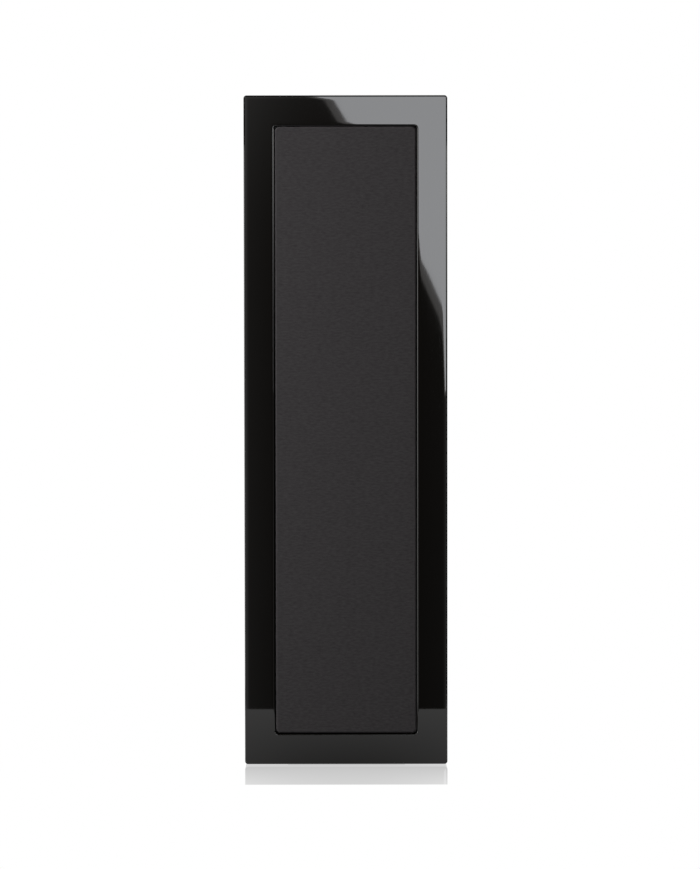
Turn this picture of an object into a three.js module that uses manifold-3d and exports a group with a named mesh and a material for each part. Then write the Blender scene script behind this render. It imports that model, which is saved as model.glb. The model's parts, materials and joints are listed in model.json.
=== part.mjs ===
// A floorstanding loudspeaker: a lacquered cabinet with a picture-frame front, a lift-off
// cloth grille, two woofers, a midrange, a dome tweeter, and all that is inside.
//
// Millimetres, +Z up, front facing -Y. The origin is on the floor, under the middle of the
// cabinet. Most pieces are placed in the "facing" group, which is the view from the front:
// x to the right, y up and z towards the listener.
import * as THREE from "three";
import { mergeVertices } from "three/addons/utils/BufferGeometryUtils.js";
import Module from "manifold-3d";

const wasm = await Module();
wasm.setup();

// ---- Driving dimensions ----

const GAP = 0.3; // air between pieces that touch on the real speaker
const SIDES = 20; // facets of every turned piece

const CABINET = { width: 303, height: 998, depth: 280, wall: 20, corner: 4.5, edge: 1.9 };
const FOOT = { lift: 2, width: 176, length: 26, inset: 34 };
const FRAME = { depth: 20, border: 43.4, corner: 4.5 }; // its opening has the cabinet's edge too
const BAFFLE_T = 18;
const REAR_LIP = 4.5; // the back panel sits this far inside the cabinet's rear edge
const BACK_T = 18;

const GRILLE = {
  width: 211,
  height: 905,
  corner: 7,
  cloth: 1.4, // thickness of the padded cloth, and the radius of its edges
  frameDepth: 12.5,
  rail: 11, // width of the grille frame's rails
  bar: 9, // height of its cross bars
  setBack: 0.5, // the cloth's face is this far behind the frame's face
  pegRadius: 3.3,
  pegLength: 14,
};
const SOCKET = { outer: 6, bore: 3.9, length: 12 };
const PEG_X = 98.5;
const PEG_Z = [66, 938]; // heights above the floor

const HEIGHTS = { tweeter: 882, mid: 765, wooferUpper: 604, wooferLower: 420 };
const BAR_HEIGHTS = [696.5, 512, 300, 180]; // grille cross bars, clear of every driver
const BRACE_HEIGHTS = { upper: 512, lower: 320 };
const BRACE_T = 15;

const PORT = { height: 235, bore: 30, wall: 3, flare: 10, length: 118, flange: 48, flangeT: 3.2 };
const CUP = {
  height: 125,
  flangeW: 116,
  flangeH: 88,
  flangeT: 3,
  basinW: 94,
  basinH: 66,
  wall: 3,
  floorT: 4,
  depth: 38.8,
};
const POST = { spacing: 28, stem: 3.9, knob: 8.6, knobLength: 23 };

// Driver sizes. Heights along a driver's axis are from the front of its flange, forward
// positive. cone is the cone's outer radius and roll the radius of the surround's half roll.
const WOOFER = {
  flange: 86, land: 74, cone: 57.5, roll: 5.25, coil: 19.5, magnet: 50, magnetT: 18,
  seat: 52, plateT: 6, spider: 56, neck: 27, cap: 24, ledge: 33,
};
const MID = {
  flange: 62, land: 53, cone: 42, roll: 3.6, coil: 12.8, magnet: 36, magnetT: 13,
  seat: 36, plateT: 5, spider: 40, neck: 17, cap: 0, ledge: 22.5,
};
const FLANGE_T = 4.5;
const CONE_T = 1.2;
const RUBBER_T = 1;
const TAG_HEIGHT = 2.5; // of the solder tag above a basket's rear face
const TWEETER = { flange: 52, flangeT: 4, dome: 12.5, motor: 27, chamber: 24 };

// Planes of the facing group, measured from the middle of the cabinet, forward positive.
const FRONT = CABINET.depth / 2;
const FRAME_BACK = FRONT - FRAME.depth;
const BAFFLE_FRONT = FRAME_BACK - GAP;
const BAFFLE_BACK = BAFFLE_FRONT - BAFFLE_T;
const REAR = -CABINET.depth / 2;
const BACK_FACE = REAR + REAR_LIP; // outer face of the back panel
const BACK_INSIDE = BACK_FACE + BACK_T;
const MIDDLE_Z = FOOT.lift + CABINET.height / 2;
const INNER_W = CABINET.width - 2 * CABINET.wall;
const INNER_H = CABINET.height - 2 * CABINET.wall;

// ---- Materials ----

const finish = (color, roughness, metalness = 0) =>
  new THREE.MeshStandardMaterial({ color, roughness, metalness });

const MATERIALS = {
  lacquer: finish(0x0b0a0a, 0.04),
  satin: finish(0x161616, 0.45),
  board: finish(0x8a6b4a, 0.85),
  cloth: finish(0x383637, 0.95),
  plastic: finish(0x141414, 0.5),
  rubber: finish(0x101010, 0.8),
  casting: finish(0x2a2b2d, 0.45, 0.6),
  steel: finish(0x9a9da0, 0.35, 1),
  ferrite: finish(0x2b2b2d, 0.7),
  cone: finish(0x1b1c1e, 0.6),
  spider: finish(0x8f6a2c, 0.9),
  copper: finish(0xb5602c, 0.35, 1),
  gold: finish(0xd2a650, 0.25, 1),
  red: finish(0xb01818, 0.35),
  black: finish(0x121212, 0.35),
  silk: finish(0x202024, 0.7),
  aluminium: finish(0xb9bbbe, 0.35, 1),
  circuit: finish(0x1f4a2c, 0.6),
  film: finish(0xc8a43c, 0.4),
  wadding: finish(0xe6e4de, 1),
  cable: finish(0x8c1d1d, 0.5),
};

// ---- Solids ----

/** A closed geometry as a manifold-3d solid. */
function solid(geometry) {
  const bare = geometry.clone();
  bare.deleteAttribute("normal");
  bare.deleteAttribute("uv");
  const merged = mergeVertices(bare, 1e-4);
  return new wasm.Manifold(
    new wasm.Mesh({
      numProp: 3,
      vertProperties: merged.attributes.position.array,
      triVerts: new Uint32Array(merged.index.array),
    }),
  );
}

/** A manifold-3d solid as a geometry. */
function geometryOf(made) {
  const mesh = made.getMesh();
  return new THREE.BufferGeometry()
    .setAttribute("position", new THREE.BufferAttribute(mesh.vertProperties, 3))
    .setIndex(new THREE.BufferAttribute(mesh.triVerts, 1));
}

const join = (first, ...others) => others.reduce((all, next) => all.add(solid(next)), first);
const cut = (first, ...others) => others.reduce((all, next) => all.subtract(solid(next)), first);

/** A rectangle with round corners, centred on (x, y). */
function roundedRectangle(width, height, radius, x = 0, y = 0, shape = new THREE.Shape()) {
  const [left, right, low, high] = [x - width / 2, x + width / 2, y - height / 2, y + height / 2];
  shape.absarc(right - radius, low + radius, radius, -Math.PI / 2, 0);
  shape.absarc(right - radius, high - radius, radius, 0, Math.PI / 2);
  shape.absarc(left + radius, high - radius, radius, Math.PI / 2, Math.PI);
  shape.absarc(left + radius, low + radius, radius, Math.PI, 1.5 * Math.PI);
  shape.closePath();
  return shape;
}

/** A shape extruded from z = back to z = front, with plain edges. */
function slab(shape, back, front, curveSegments = 3) {
  const options = { depth: front - back, bevelEnabled: false, curveSegments };
  return new THREE.ExtrudeGeometry(shape, options).translate(0, 0, back);
}

/** A slab whose edges are rounded at its front end only. */
function roundedSlab(shape, back, front, radius) {
  const spare = 10;
  const blank = new THREE.ExtrudeGeometry(shape, {
    depth: front - back + spare - 2 * radius,
    bevelThickness: radius,
    bevelSize: radius,
    bevelOffset: -radius,
    bevelSegments: 3,
    curveSegments: 3,
  }).translate(0, 0, back - spare + radius);
  const waste = new THREE.BoxGeometry(4000, 4000, 2 * spare).translate(0, 0, back - spare);
  return cut(solid(blank), waste);
}

/** A profile of [radius, height] points turned about y, ordered so that its faces point out. */
function turned(profile, sides = SIDES) {
  const points = profile.map(([radius, height]) => new THREE.Vector2(radius, height));
  if (THREE.ShapeUtils.area(points) < 0) points.reverse();
  const onAxis = points[0].x === 0 && points[points.length - 1].x === 0;
  if (!onAxis) points.push(points[0].clone());
  return new THREE.LatheGeometry(points, sides);
}

/** A ring or disc about y, from bottom to top. */
function ring(inner, outer, bottom, top, sides = SIDES) {
  return turned([[inner, bottom], [outer, bottom], [outer, top], [inner, top]], sides);
}

/** A thin sheet about y, whose middle follows the line of [radius, height] points. */
function turnedSheet(line, thickness, sides = SIDES) {
  const points = line.map(([radius, height]) => new THREE.Vector2(radius, height));
  const face = (side) =>
    points.map((point, i) => {
      const before = points[Math.max(i - 1, 0)];
      const after = points[Math.min(i + 1, points.length - 1)];
      const along = after.clone().sub(before).setLength((side * thickness) / 2);
      const radius = point.x === 0 ? 0 : point.x - along.y;
      return [radius, point.y + (point.x === 0 ? (side * thickness) / 2 : along.x)];
    });
  return turned([...face(1), ...face(-1).reverse()], sides);
}

/** A round bar along z, used to cut holes in panels. */
function bar(radius, back, front, x, y, sides = SIDES) {
  return new THREE.CylinderGeometry(radius, radius, front - back, sides)
    .rotateX(Math.PI / 2)
    .translate(x, y, (back + front) / 2);
}

/** A tube of the given radius along a smooth curve through the points. */
function tube(points, radius, sides, steps) {
  const circle = new THREE.Shape();
  circle.absarc(0, 0, radius, 0, 2 * Math.PI);
  const extrudePath = new THREE.CatmullRomCurve3(points.map((p) => new THREE.Vector3(...p)));
  return new THREE.ExtrudeGeometry(circle, {
    steps,
    curveSegments: sides,
    extrudePath,
    bevelEnabled: false,
  });
}

function named(name, shape, material) {
  const mesh = new THREE.Mesh(shape.isBufferGeometry ? shape : geometryOf(shape), material);
  mesh.name = name;
  return mesh;
}

// ---- Cabinet ----

function cabinet() {
  const outline = () =>
    roundedRectangle(CABINET.width, CABINET.height, CABINET.corner, 0, MIDDLE_Z);
  const openingW = CABINET.width - 2 * (FRAME.border + CABINET.edge);
  const openingH = CABINET.height - 2 * (FRAME.border + CABINET.edge);

  const frameShape = outline();
  const opening = roundedRectangle(
    openingW, openingH, FRAME.corner, 0, MIDDLE_Z, new THREE.Path(),
  );
  frameShape.holes.push(opening);
  const frontFrame = roundedSlab(frameShape, FRAME_BACK, FRONT, CABINET.edge);

  // Made facing forward, then turned round, so that its rounded edge is at the rear.
  const shell = cut(
    roundedSlab(outline(), -(FRAME_BACK - GAP), FRONT, CABINET.edge),
    slab(roundedRectangle(INNER_W, INNER_H, 1, 0, MIDDLE_Z), -FRONT, 2 * FRONT, 1),
  );
  const shellMesh = named("cabinet_shell", shell, MATERIALS.lacquer);
  shellMesh.rotation.y = Math.PI;

  const inside = () =>
    roundedRectangle(INNER_W - 2 * GAP, INNER_H - 2 * GAP, 1, 0, MIDDLE_Z);
  const backPanel = cut(
    solid(slab(inside(), BACK_FACE, BACK_INSIDE, 1)),
    bar(PORT.bore + PORT.flare + GAP, REAR, 0, 0, PORT.height),
    slab(
      roundedRectangle(CUP.basinW + 2 * GAP, CUP.basinH + 2 * GAP, 6, 0, CUP.height),
      REAR,
      0,
    ),
  );
  return [
    named("front_frame", frontFrame, MATERIALS.lacquer),
    shellMesh,
    named("back_panel", backPanel, MATERIALS.satin),
    named("baffle", baffleBoard(inside()), MATERIALS.satin),
    brace("brace_upper", BRACE_HEIGHTS.upper),
    brace("brace_lower", BRACE_HEIGHTS.lower),
  ];
}

/** The board that the drivers are screwed to, rebated so that their flanges lie flush. */
function baffleBoard(outline) {
  const holes = [
    { height: HEIGHTS.wooferUpper, rebate: WOOFER.flange, through: WOOFER.land - 1.5 },
    { height: HEIGHTS.wooferLower, rebate: WOOFER.flange, through: WOOFER.land - 1.5 },
    { height: HEIGHTS.mid, rebate: MID.flange, through: MID.land - 1.5 },
    { height: HEIGHTS.tweeter, rebate: TWEETER.flange, through: TWEETER.motor + 2 },
  ];
  const cuts = holes.flatMap(({ height, rebate, through }) => [
    bar(through, BAFFLE_BACK - 1, BAFFLE_FRONT + 1, 0, height),
    bar(rebate + GAP, BAFFLE_FRONT - FLANGE_T - GAP, BAFFLE_FRONT + 1, 0, height),
  ]);
  const sockets = pegPlaces().map(([x, height]) =>
    bar(SOCKET.outer + GAP, BAFFLE_BACK - 1, BAFFLE_FRONT + 1, x, height, 12),
  );
  return cut(solid(slab(outline, BAFFLE_BACK, BAFFLE_FRONT, 1)), ...cuts, ...sockets);
}

/** A shelf brace with two windows, glued between the walls, the baffle and the back. */
function brace(name, height) {
  const [front, back] = [BAFFLE_BACK - GAP, BACK_INSIDE + GAP];
  const depth = front - back;
  const rim = 22;
  const windowW = (INNER_W - 3 * rim) / 2;
  const shape = roundedRectangle(INNER_W - 2 * GAP, depth, 1);
  for (const side of [-1, 1]) {
    const x = (side * (windowW + rim)) / 2;
    shape.holes.push(roundedRectangle(windowW, depth - 2 * rim, 12, x, 0, new THREE.Path()));
  }
  const mesh = named(name, slab(shape, -BRACE_T / 2, BRACE_T / 2), MATERIALS.board);
  mesh.rotation.x = -Math.PI / 2;
  mesh.position.set(0, height, (front + back) / 2);
  return mesh;
}

/** Two thin rubber strips that the cabinet stands on, set back from its edges. */
function feet() {
  const thickness = FOOT.lift - GAP;
  return ["front", "rear"].map((end) => {
    const shape = new THREE.BoxGeometry(FOOT.width, thickness, FOOT.length);
    const mesh = named(`foot_strip_${end}`, shape, MATERIALS.rubber);
    const place = FRONT - FOOT.inset - FOOT.length / 2;
    mesh.position.set(0, thickness / 2, end === "front" ? place : -place);
    return mesh;
  });
}

// ---- Grille ----

const pegPlaces = () => PEG_Z.flatMap((height) => [[-PEG_X, height], [PEG_X, height]]);

/** The cloth over a moulded frame with cross bars and four pegs. */
function grille() {
  const face = FRONT - GRILLE.setBack;
  const clothBack = face - GRILLE.cloth;
  const frameFront = clothBack - GAP;
  const frameBack = frameFront - GRILLE.frameDepth;
  const frameW = GRILLE.width - GRILLE.cloth;
  const frameH = GRILLE.height - GRILLE.cloth;

  const clothShape = roundedRectangle(GRILLE.width, GRILLE.height, GRILLE.corner, 0, MIDDLE_Z);
  const cloth = roundedSlab(clothShape, clothBack, face, GRILLE.cloth);

  const shape = roundedRectangle(frameW, frameH, GRILLE.corner, 0, MIDDLE_Z);
  const edges = [
    MIDDLE_Z + frameH / 2 - GRILLE.rail,
    ...BAR_HEIGHTS.flatMap((z) => [z + GRILLE.bar / 2, z - GRILLE.bar / 2]),
    MIDDLE_Z - frameH / 2 + GRILLE.rail,
  ];
  for (let i = 0; i < edges.length; i += 2) {
    const [top, bottom] = [edges[i], edges[i + 1]];
    shape.holes.push(
      roundedRectangle(
        frameW - 2 * GRILLE.rail, top - bottom, 4, 0, (top + bottom) / 2, new THREE.Path(),
      ),
    );
  }
  const pegs = pegPlaces().map(([x, height]) =>
    bar(GRILLE.pegRadius, frameBack - GRILLE.pegLength, frameBack + 2, x, height, 12),
  );
  const frame = join(solid(slab(shape, frameBack, frameFront, 1)), ...pegs);
  return [
    named("grille_cloth", cloth, MATERIALS.cloth),
    named("grille_frame", frame, MATERIALS.plastic),
  ];
}

/** The rubber cups in the baffle that grip the grille's pegs. */
function grilleSockets() {
  return pegPlaces().map(([x, height], i) => {
    const shape = ring(SOCKET.bore, SOCKET.outer, -SOCKET.length, 0, 12);
    const mesh = named(`grille_socket_${i + 1}`, shape, MATERIALS.rubber);
    mesh.rotation.x = Math.PI / 2;
    mesh.position.set(x, height, BAFFLE_FRONT);
    return mesh;
  });
}

// ---- Drivers ----

/** A group whose y axis points at the listener, at a height on the front of the baffle. */
function driverGroup(height, meshes) {
  const group = new THREE.Group();
  group.add(...meshes);
  group.rotation.x = Math.PI / 2;
  group.position.set(0, height, BAFFLE_FRONT);
  return group;
}

/** The cast basket: a flange with a ledge for the surround, six spokes, a ring that the
 *  spider is glued to and a rear ring that the motor is riveted to. */
function basket(d) {
  const ledge = FLANGE_T / 3;
  const throat = d.cone + 2 * d.roll - 0.5;
  const seatTop = -d.seat + 4;
  const rim = turned([
    [throat, -FLANGE_T], [d.flange, -FLANGE_T], [d.flange, 0],
    [d.land, 0], [d.land, -ledge], [throat, -ledge],
  ]);
  const spiderRing = ring(d.spider - 9, d.spider + 1, -d.ledge - 3, -d.ledge - GAP);
  const rearRing = ring(d.coil + 3, d.magnet, -d.seat, seatTop);
  const width = d.flange / 7;
  const profile = new THREE.Shape([
    new THREE.Vector2(throat - 1, -FLANGE_T + 0.5),
    new THREE.Vector2(d.land - 4, -FLANGE_T + 0.5),
    new THREE.Vector2(d.magnet + 3, -d.seat),
    new THREE.Vector2(d.magnet - 4, -d.seat),
  ]);
  const spokes = [30, 90, 150, 210, 270, 330].map((angle) =>
    slab(profile, -width / 2, width / 2).rotateY(THREE.MathUtils.degToRad(angle)),
  );
  const tag = new THREE.BoxGeometry(12, 3, 10).translate(-d.magnet - 4, -d.seat + TAG_HEIGHT, 0);
  return join(solid(rim), rearRing, ...spokes, spiderRing, tag);
}

/** The corrugated cloth disc that centres the voice coil. */
function spiderDisc(d) {
  const [inner, outer] = [d.coil + 1, d.spider - 2.5];
  const waves = [0, 1.2, -1.2, 1.2, -1.2, 0];
  const height = -d.ledge + 0.5;
  const line = waves.map((wave, i) => [
    outer + ((inner - outer) * i) / (waves.length - 1),
    height + wave,
  ]);
  return turnedSheet(line, 0.8);
}

/** The cone, from its neck on the voice coil to a flat lip that the surround covers. A cone
 *  without a dust cap is closed by a small dome of its own. */
function coneShape(d) {
  const neck = d.coil - 0.5;
  const lipInner = d.cone - 4;
  const lip = -FLANGE_T / 3 - CONE_T / 2;
  const flare = [0, 0.3, 0.65, 1].map((share) => [
    neck + (lipInner - neck) * share,
    -d.neck + (d.neck + lip) * share ** 0.8,
  ]);
  const rise = 4;
  const dome = [0, 0.55].map((share) => [neck * share, -d.neck + rise * (1 - share ** 2)]);
  return turnedSheet([...(d.cap > 0 ? [] : dome), ...flare, [d.cone, lip]], CONE_T);
}

/** A half roll of rubber between two flat rims, on the cone's lip and the basket's ledge. */
function surroundShape(d) {
  const base = -FLANGE_T / 3 + GAP + RUBBER_T / 2;
  const centre = d.cone + d.roll;
  const arc = [1, 0.8, 0.5, 0.2, 0].map((share) => [
    centre + d.roll * Math.cos(Math.PI * share),
    base + d.roll * Math.sin(Math.PI * share),
  ]);
  return turnedSheet([[d.cone - 3.7, base], ...arc, [d.land - 0.4, base]], RUBBER_T);
}

/** A shallow dome over the cone's neck. */
function dustCap(d) {
  const [rise, base] = [7.5, -d.neck + 6];
  const line = [0, 0.35, 0.7, 1].map((share) => [d.cap * share, base + rise * (1 - share ** 2)]);
  return turnedSheet(line, CONE_T);
}

/** Everything of one cone driver, from its flange to the back plate of its motor. */
function coneDriver(name, d, height) {
  const plateTop = -d.seat - GAP;
  const magnetTop = plateTop - d.plateT - GAP;
  const yokeTop = magnetTop - d.magnetT - GAP;
  const yokeBottom = yokeTop - d.plateT;
  const [vent, pole] = [4, d.coil - 1.3];
  const [coilEnd, coilTop] = [yokeTop + 7.5, -d.neck - CONE_T];
  const [windingLow, windingHigh] = [plateTop - d.plateT - 5, plateTop + 5];
  const [inner, outer, winding] = [d.coil - 0.6, d.coil, d.coil + 0.6];
  const yoke = turned([
    [vent, yokeBottom], [d.magnet - 6, yokeBottom], [d.magnet - 6, yokeTop],
    [pole, yokeTop], [pole, plateTop + 0.5], [vent, plateTop + 0.5],
  ]);
  const coil = turned([
    [inner, coilEnd], [outer, coilEnd], [outer, windingLow], [winding, windingLow],
    [winding, windingHigh], [outer, windingHigh], [outer, coilTop], [inner, coilTop],
  ]);
  const topPlate = ring(d.coil + 1.7, d.magnet - 5, plateTop - d.plateT, plateTop);
  const magnet = ring(d.coil + 5, d.magnet, magnetTop - d.magnetT, magnetTop);
  const meshes = [
    named(`${name}_basket`, basket(d), MATERIALS.casting),
    named(`${name}_top_plate`, topPlate, MATERIALS.steel),
    named(`${name}_magnet`, magnet, MATERIALS.ferrite),
    named(`${name}_yoke`, yoke, MATERIALS.steel),
    named(`${name}_voice_coil`, coil, MATERIALS.copper),
    named(`${name}_spider`, spiderDisc(d), MATERIALS.spider),
    named(`${name}_cone`, coneShape(d), MATERIALS.cone),
    named(`${name}_surround`, surroundShape(d), MATERIALS.rubber),
  ];
  if (d.cap > 0) meshes.push(named(`${name}_dust_cap`, dustCap(d), MATERIALS.cone));
  return driverGroup(height, meshes);
}

/** A dome tweeter: a faceplate with a shallow horn, the dome with its surround and coil,
 *  a neodymium motor in a steel pot, and a rear chamber. */
function tweeter() {
  const t = TWEETER;
  const throatZ = -4.6; // height of the flat rim that the dome's surround sits behind
  const faceplate = turned([
    [16.2, throatZ], [20, -3.2], [27, -1.2], [35, 0], [t.flange, 0], [t.flange, -t.flangeT],
    [t.motor + 1, -t.flangeT], [t.motor + 1, -6.5], [16.2, -6.5],
  ]);
  const domeFoot = -7.5;
  const rise = 5.5;
  const cap = (radius, height) =>
    [0, 0.45, 0.8, 1].map((share) => [radius * share, domeFoot + height * (1 - share ** 2)]);
  // Apex to rim along the inside, down the coil former, out along the surround, and back.
  const dome = turned([
    ...cap(t.dome - 0.6, rise - 0.6), [t.dome - 0.6, domeFoot - 3.5], [t.dome, domeFoot - 3.5],
    [t.dome, domeFoot - 0.4], [15.4, domeFoot - 0.4], [15.4, domeFoot + 0.2],
    ...cap(t.dome, rise).reverse(),
  ]);
  const motorTop = -6.5 - GAP;
  const slot = [t.dome - 1.2, t.dome + 0.8]; // the annular gap that the coil moves in
  const motor = turned([
    [0, -30], [t.motor, -30], [t.motor, motorTop], [16.4, motorTop], [16.4, -9],
    [slot[1], -9], [slot[1], -15], [slot[0], -15], [slot[0], -9], [0, -9],
  ]);
  const chamber = turned([
    [0, -52], [t.chamber, -52], [t.chamber, -30 - GAP], [t.chamber - 2.5, -30 - GAP],
    [t.chamber - 2.5, -49], [0, -49],
  ]);
  return driverGroup(HEIGHTS.tweeter, [
    named("tweeter_faceplate", faceplate, MATERIALS.aluminium),
    named("tweeter_dome", dome, MATERIALS.silk),
    named("tweeter_motor", motor, MATERIALS.steel),
    named("tweeter_chamber", chamber, MATERIALS.plastic),
  ]);
}

/** The sealed pot behind the midrange, screwed to the back of the baffle. */
function midEnclosure() {
  const [inner, wall, rim, depth] = [62, 4, 8, 70];
  const outer = inner + wall;
  const mouth = -BAFFLE_T - GAP;
  const pot = turned([
    [0, mouth - depth], [outer, mouth - depth], [outer, mouth - wall],
    [outer + rim, mouth - wall], [outer + rim, mouth], [inner, mouth],
    [inner, mouth - depth + wall], [0, mouth - depth + wall],
  ]);
  return driverGroup(HEIGHTS.mid, [named("mid_enclosure", pot, MATERIALS.plastic)]);
}

// ---- Rear ----

/** The bass port: a moulded tube whose mouth flares out to a flange on the back panel. */
function port() {
  const outer = PORT.bore + PORT.wall;
  const mouth = PORT.bore + PORT.flare;
  const face = -BACK_FACE + GAP;
  const lip = face + PORT.flangeT;
  const inside = lip - PORT.length;
  const behind = -BACK_INSIDE - GAP;
  const shape = turned([
    [outer, inside], [outer, behind - 6], [mouth, behind], [mouth, face], [PORT.flange, face],
    [PORT.flange, lip - 1], [PORT.flange - 1, lip], [mouth + 1, lip], [mouth - 2.5, lip - 1.6],
    [mouth - 5.5, lip - 5], [mouth - 8, lip - 11], [PORT.bore, lip - 20], [PORT.bore, inside],
  ]);
  const mesh = named("port_tube", shape, MATERIALS.plastic);
  mesh.rotation.x = -Math.PI / 2;
  mesh.position.set(0, PORT.height, 0);
  return mesh;
}

/** The recessed dish that the binding posts are screwed into. */
function terminalCup() {
  const face = BACK_FACE - GAP;
  const lip = face - CUP.flangeT;
  const floor = lip + CUP.depth;
  const inner = { w: CUP.basinW - 2 * CUP.wall, h: CUP.basinH - 2 * CUP.wall };
  const posts = [-1, 1].map((side) =>
    bar(POST.stem + 0.5, lip, floor + 1, (side * POST.spacing) / 2, CUP.height, 16),
  );
  const dish = cut(
    join(
      solid(slab(roundedRectangle(CUP.flangeW, CUP.flangeH, 8, 0, CUP.height), lip, face)),
      slab(roundedRectangle(CUP.basinW, CUP.basinH, 6, 0, CUP.height), face - 1, floor),
    ),
    slab(roundedRectangle(inner.w, inner.h, 4, 0, CUP.height), lip - 1, floor - CUP.floorT),
    ...posts,
  );
  return named("terminal_cup", dish, MATERIALS.plastic);
}

/** A binding post, its y axis pointing out of the back: a plated stem fixed in the cup, and a
 *  knob on its thread that drives a clamp ring which doesn't turn. */
function bindingPost(name, side, colour) {
  const floorOut = -(BACK_FACE - GAP - CUP.flangeT + CUP.depth - CUP.floorT);
  const floorIn = floorOut - CUP.floorT;
  const baseTop = floorOut + 4;
  const stemEnd = floorOut + 27;
  const socket = 2.1; // radius of the hole for a 4 mm banana plug
  const stem = cut(
    solid(
      turned(
        [
          [0, floorIn - 14], [2.2, floorIn - 14], [2.2, floorIn - 6], [POST.stem, floorIn - 6],
          [POST.stem, floorIn - 4.5], [6.5, floorIn - 4.5], [6.5, floorIn - GAP],
          [POST.stem, floorIn - GAP], [POST.stem, floorOut + GAP], [8, floorOut + GAP],
          [8, baseTop], [POST.stem, baseTop], [POST.stem, stemEnd], [socket, stemEnd],
          [socket, stemEnd - 18], [0, stemEnd - 18],
        ],
        16,
      ),
    ),
    bar(1.5, -10, 10, 0, baseTop + 2, 8).rotateY(Math.PI / 2),
  );
  const collarTop = baseTop + GAP + 1.8;
  const collar = ring(POST.stem + 0.5, 8, baseTop + GAP, collarTop, 16);
  const [low, high] = [collarTop + GAP, collarTop + GAP + POST.knobLength];
  const bore = POST.stem + 0.4;
  const knob = turned(
    [
      [bore, low], [POST.knob, low], [POST.knob, high - 1], [POST.knob - 1, high],
      [socket + 0.6, high], [socket + 0.6, high - 2], [bore, high - 2],
    ],
    16,
  );
  const group = new THREE.Group();
  group.add(
    named(`${name}_stem`, stem, MATERIALS.gold),
    named(`${name}_clamp_ring`, collar, MATERIALS.gold),
    named(`${name}_knob`, knob, colour),
  );
  group.position.set((side * POST.spacing) / 2, 0, CUP.height);
  return group;
}

// ---- Inside ----

/** The crossover: a board over the cabinet's floor, two coils and two film capacitors. */
function crossover() {
  const floor = FOOT.lift + CABINET.wall;
  const board = { w: 170, d: 120, t: 2, z: floor + 8, y: -10 };
  const top = board.z + board.t + GAP;
  const group = new THREE.Group();
  const sheet = new THREE.BoxGeometry(board.w, board.d, board.t);
  const boardMesh = named("crossover_board", sheet, MATERIALS.circuit);
  boardMesh.position.set(0, board.y, board.z + board.t / 2);

  const coils = [
    { name: "crossover_bass_coil", x: 48, y: -28, inner: 12, outer: 27, height: 26 },
    { name: "crossover_treble_coil", x: 54, y: 28, inner: 9, outer: 18, height: 18 },
  ].map(({ name, x, y, inner, outer, height }) => {
    const mesh = named(name, ring(inner, outer, 0, height, 20), MATERIALS.copper);
    mesh.rotation.x = Math.PI / 2;
    mesh.position.set(x, y, top);
    return mesh;
  });
  const capacitors = [
    { name: "crossover_bass_capacitor", x: -34, y: -46, radius: 14, length: 52 },
    { name: "crossover_treble_capacitor", x: -34, y: -10, radius: 11, length: 44 },
  ].map(({ name, x, y, radius, length }) => {
    const shape = new THREE.CylinderGeometry(radius, radius, length, 20);
    const mesh = named(name, shape, MATERIALS.film);
    mesh.rotation.z = Math.PI / 2;
    mesh.position.set(x, y, top + radius);
    return mesh;
  });
  group.add(boardMesh, ...coils, ...capacitors);
  return group;
}

/** The cables, taped into one harness that starts at a plug on the crossover board. Each run
 *  is a list of points on its route, from its root to its end. */
function wiringHarness() {
  const [x, y] = [-98, 5]; // where the trunk rises, through the braces' windows
  const [trunkRadius, wireRadius, sides] = [3.5, 2, 3];
  const plug = new THREE.BoxGeometry(34, 16, 14).translate(-60, 36, 39.5);
  const trunk = [
    [-66, 34, 46], [x, y, 90], [x, y, 300], [x, y, 500], [x, y, 700], [x, y, 850],
  ];
  const tagPlane = -BAFFLE_FRONT + WOOFER.seat - TAG_HEIGHT;
  const wooferRun = (height) => [
    [x, y, height - 60], [x + 6, y - 20, height - 30],
    [-WOOFER.magnet - 26, tagPlane + 6, height], [-WOOFER.magnet - 11, tagPlane, height],
  ];
  const midRun = [
    [x, y, 700], [x + 8, y, 740], [-60, y, 765], [-45, -10, 765], [-45, -31, 765],
  ];
  const tweeterRun = [[x, y, 845], [x + 5, y, 870], [-60, -40, 882], [-34, -100, 882]];
  const postEnd = [POST.spacing / 2, 84, CUP.height]; // just inside a post's tail
  const negativeRun = [
    [-54, 40, 46], [-40, 60, 80], [-postEnd[0], 78, 120], [-postEnd[0], postEnd[1], postEnd[2]],
  ];
  const positiveRun = [[-50, 40, 44], [-20, 62, 78], [postEnd[0], 78, 120], postEnd];
  const wires = [
    wooferRun(HEIGHTS.wooferLower), wooferRun(HEIGHTS.wooferUpper), midRun, tweeterRun,
    negativeRun, positiveRun,
  ].map((run) => tube(run, wireRadius, sides, 6));
  const shape = join(solid(plug), tube(trunk, trunkRadius, sides, 9), ...wires);
  return named("wiring_harness", shape, MATERIALS.cable);
}

/** Polyester wadding that lines the back of the upper chamber, beside the harness. */
function wadding() {
  const [width, depth, low, high] = [200, 58, 526, 950];
  const [aside, clearance] = [15, 2];
  const shape = new THREE.BoxGeometry(width, depth, high - low);
  const mesh = named("wadding", shape, MATERIALS.wadding);
  mesh.position.set(aside, -BACK_INSIDE - GAP - depth / 2 - clearance, (low + high) / 2);
  return mesh;
}

// ---- Assembly ----

const facing = new THREE.Group();
facing.rotation.x = Math.PI / 2;
facing.add(
  ...cabinet(),
  ...feet(),
  ...grille(),
  ...grilleSockets(),
  coneDriver("woofer_upper", WOOFER, HEIGHTS.wooferUpper),
  coneDriver("woofer_lower", WOOFER, HEIGHTS.wooferLower),
  coneDriver("mid", MID, HEIGHTS.mid),
  tweeter(),
  midEnclosure(),
  port(),
  terminalCup(),
);

const speaker = new THREE.Group();
speaker.add(
  facing,
  bindingPost("post_positive", 1, MATERIALS.red),
  bindingPost("post_negative", -1, MATERIALS.black),
  crossover(),
  wiringHarness(),
  wadding(),
);

export default speaker;
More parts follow.
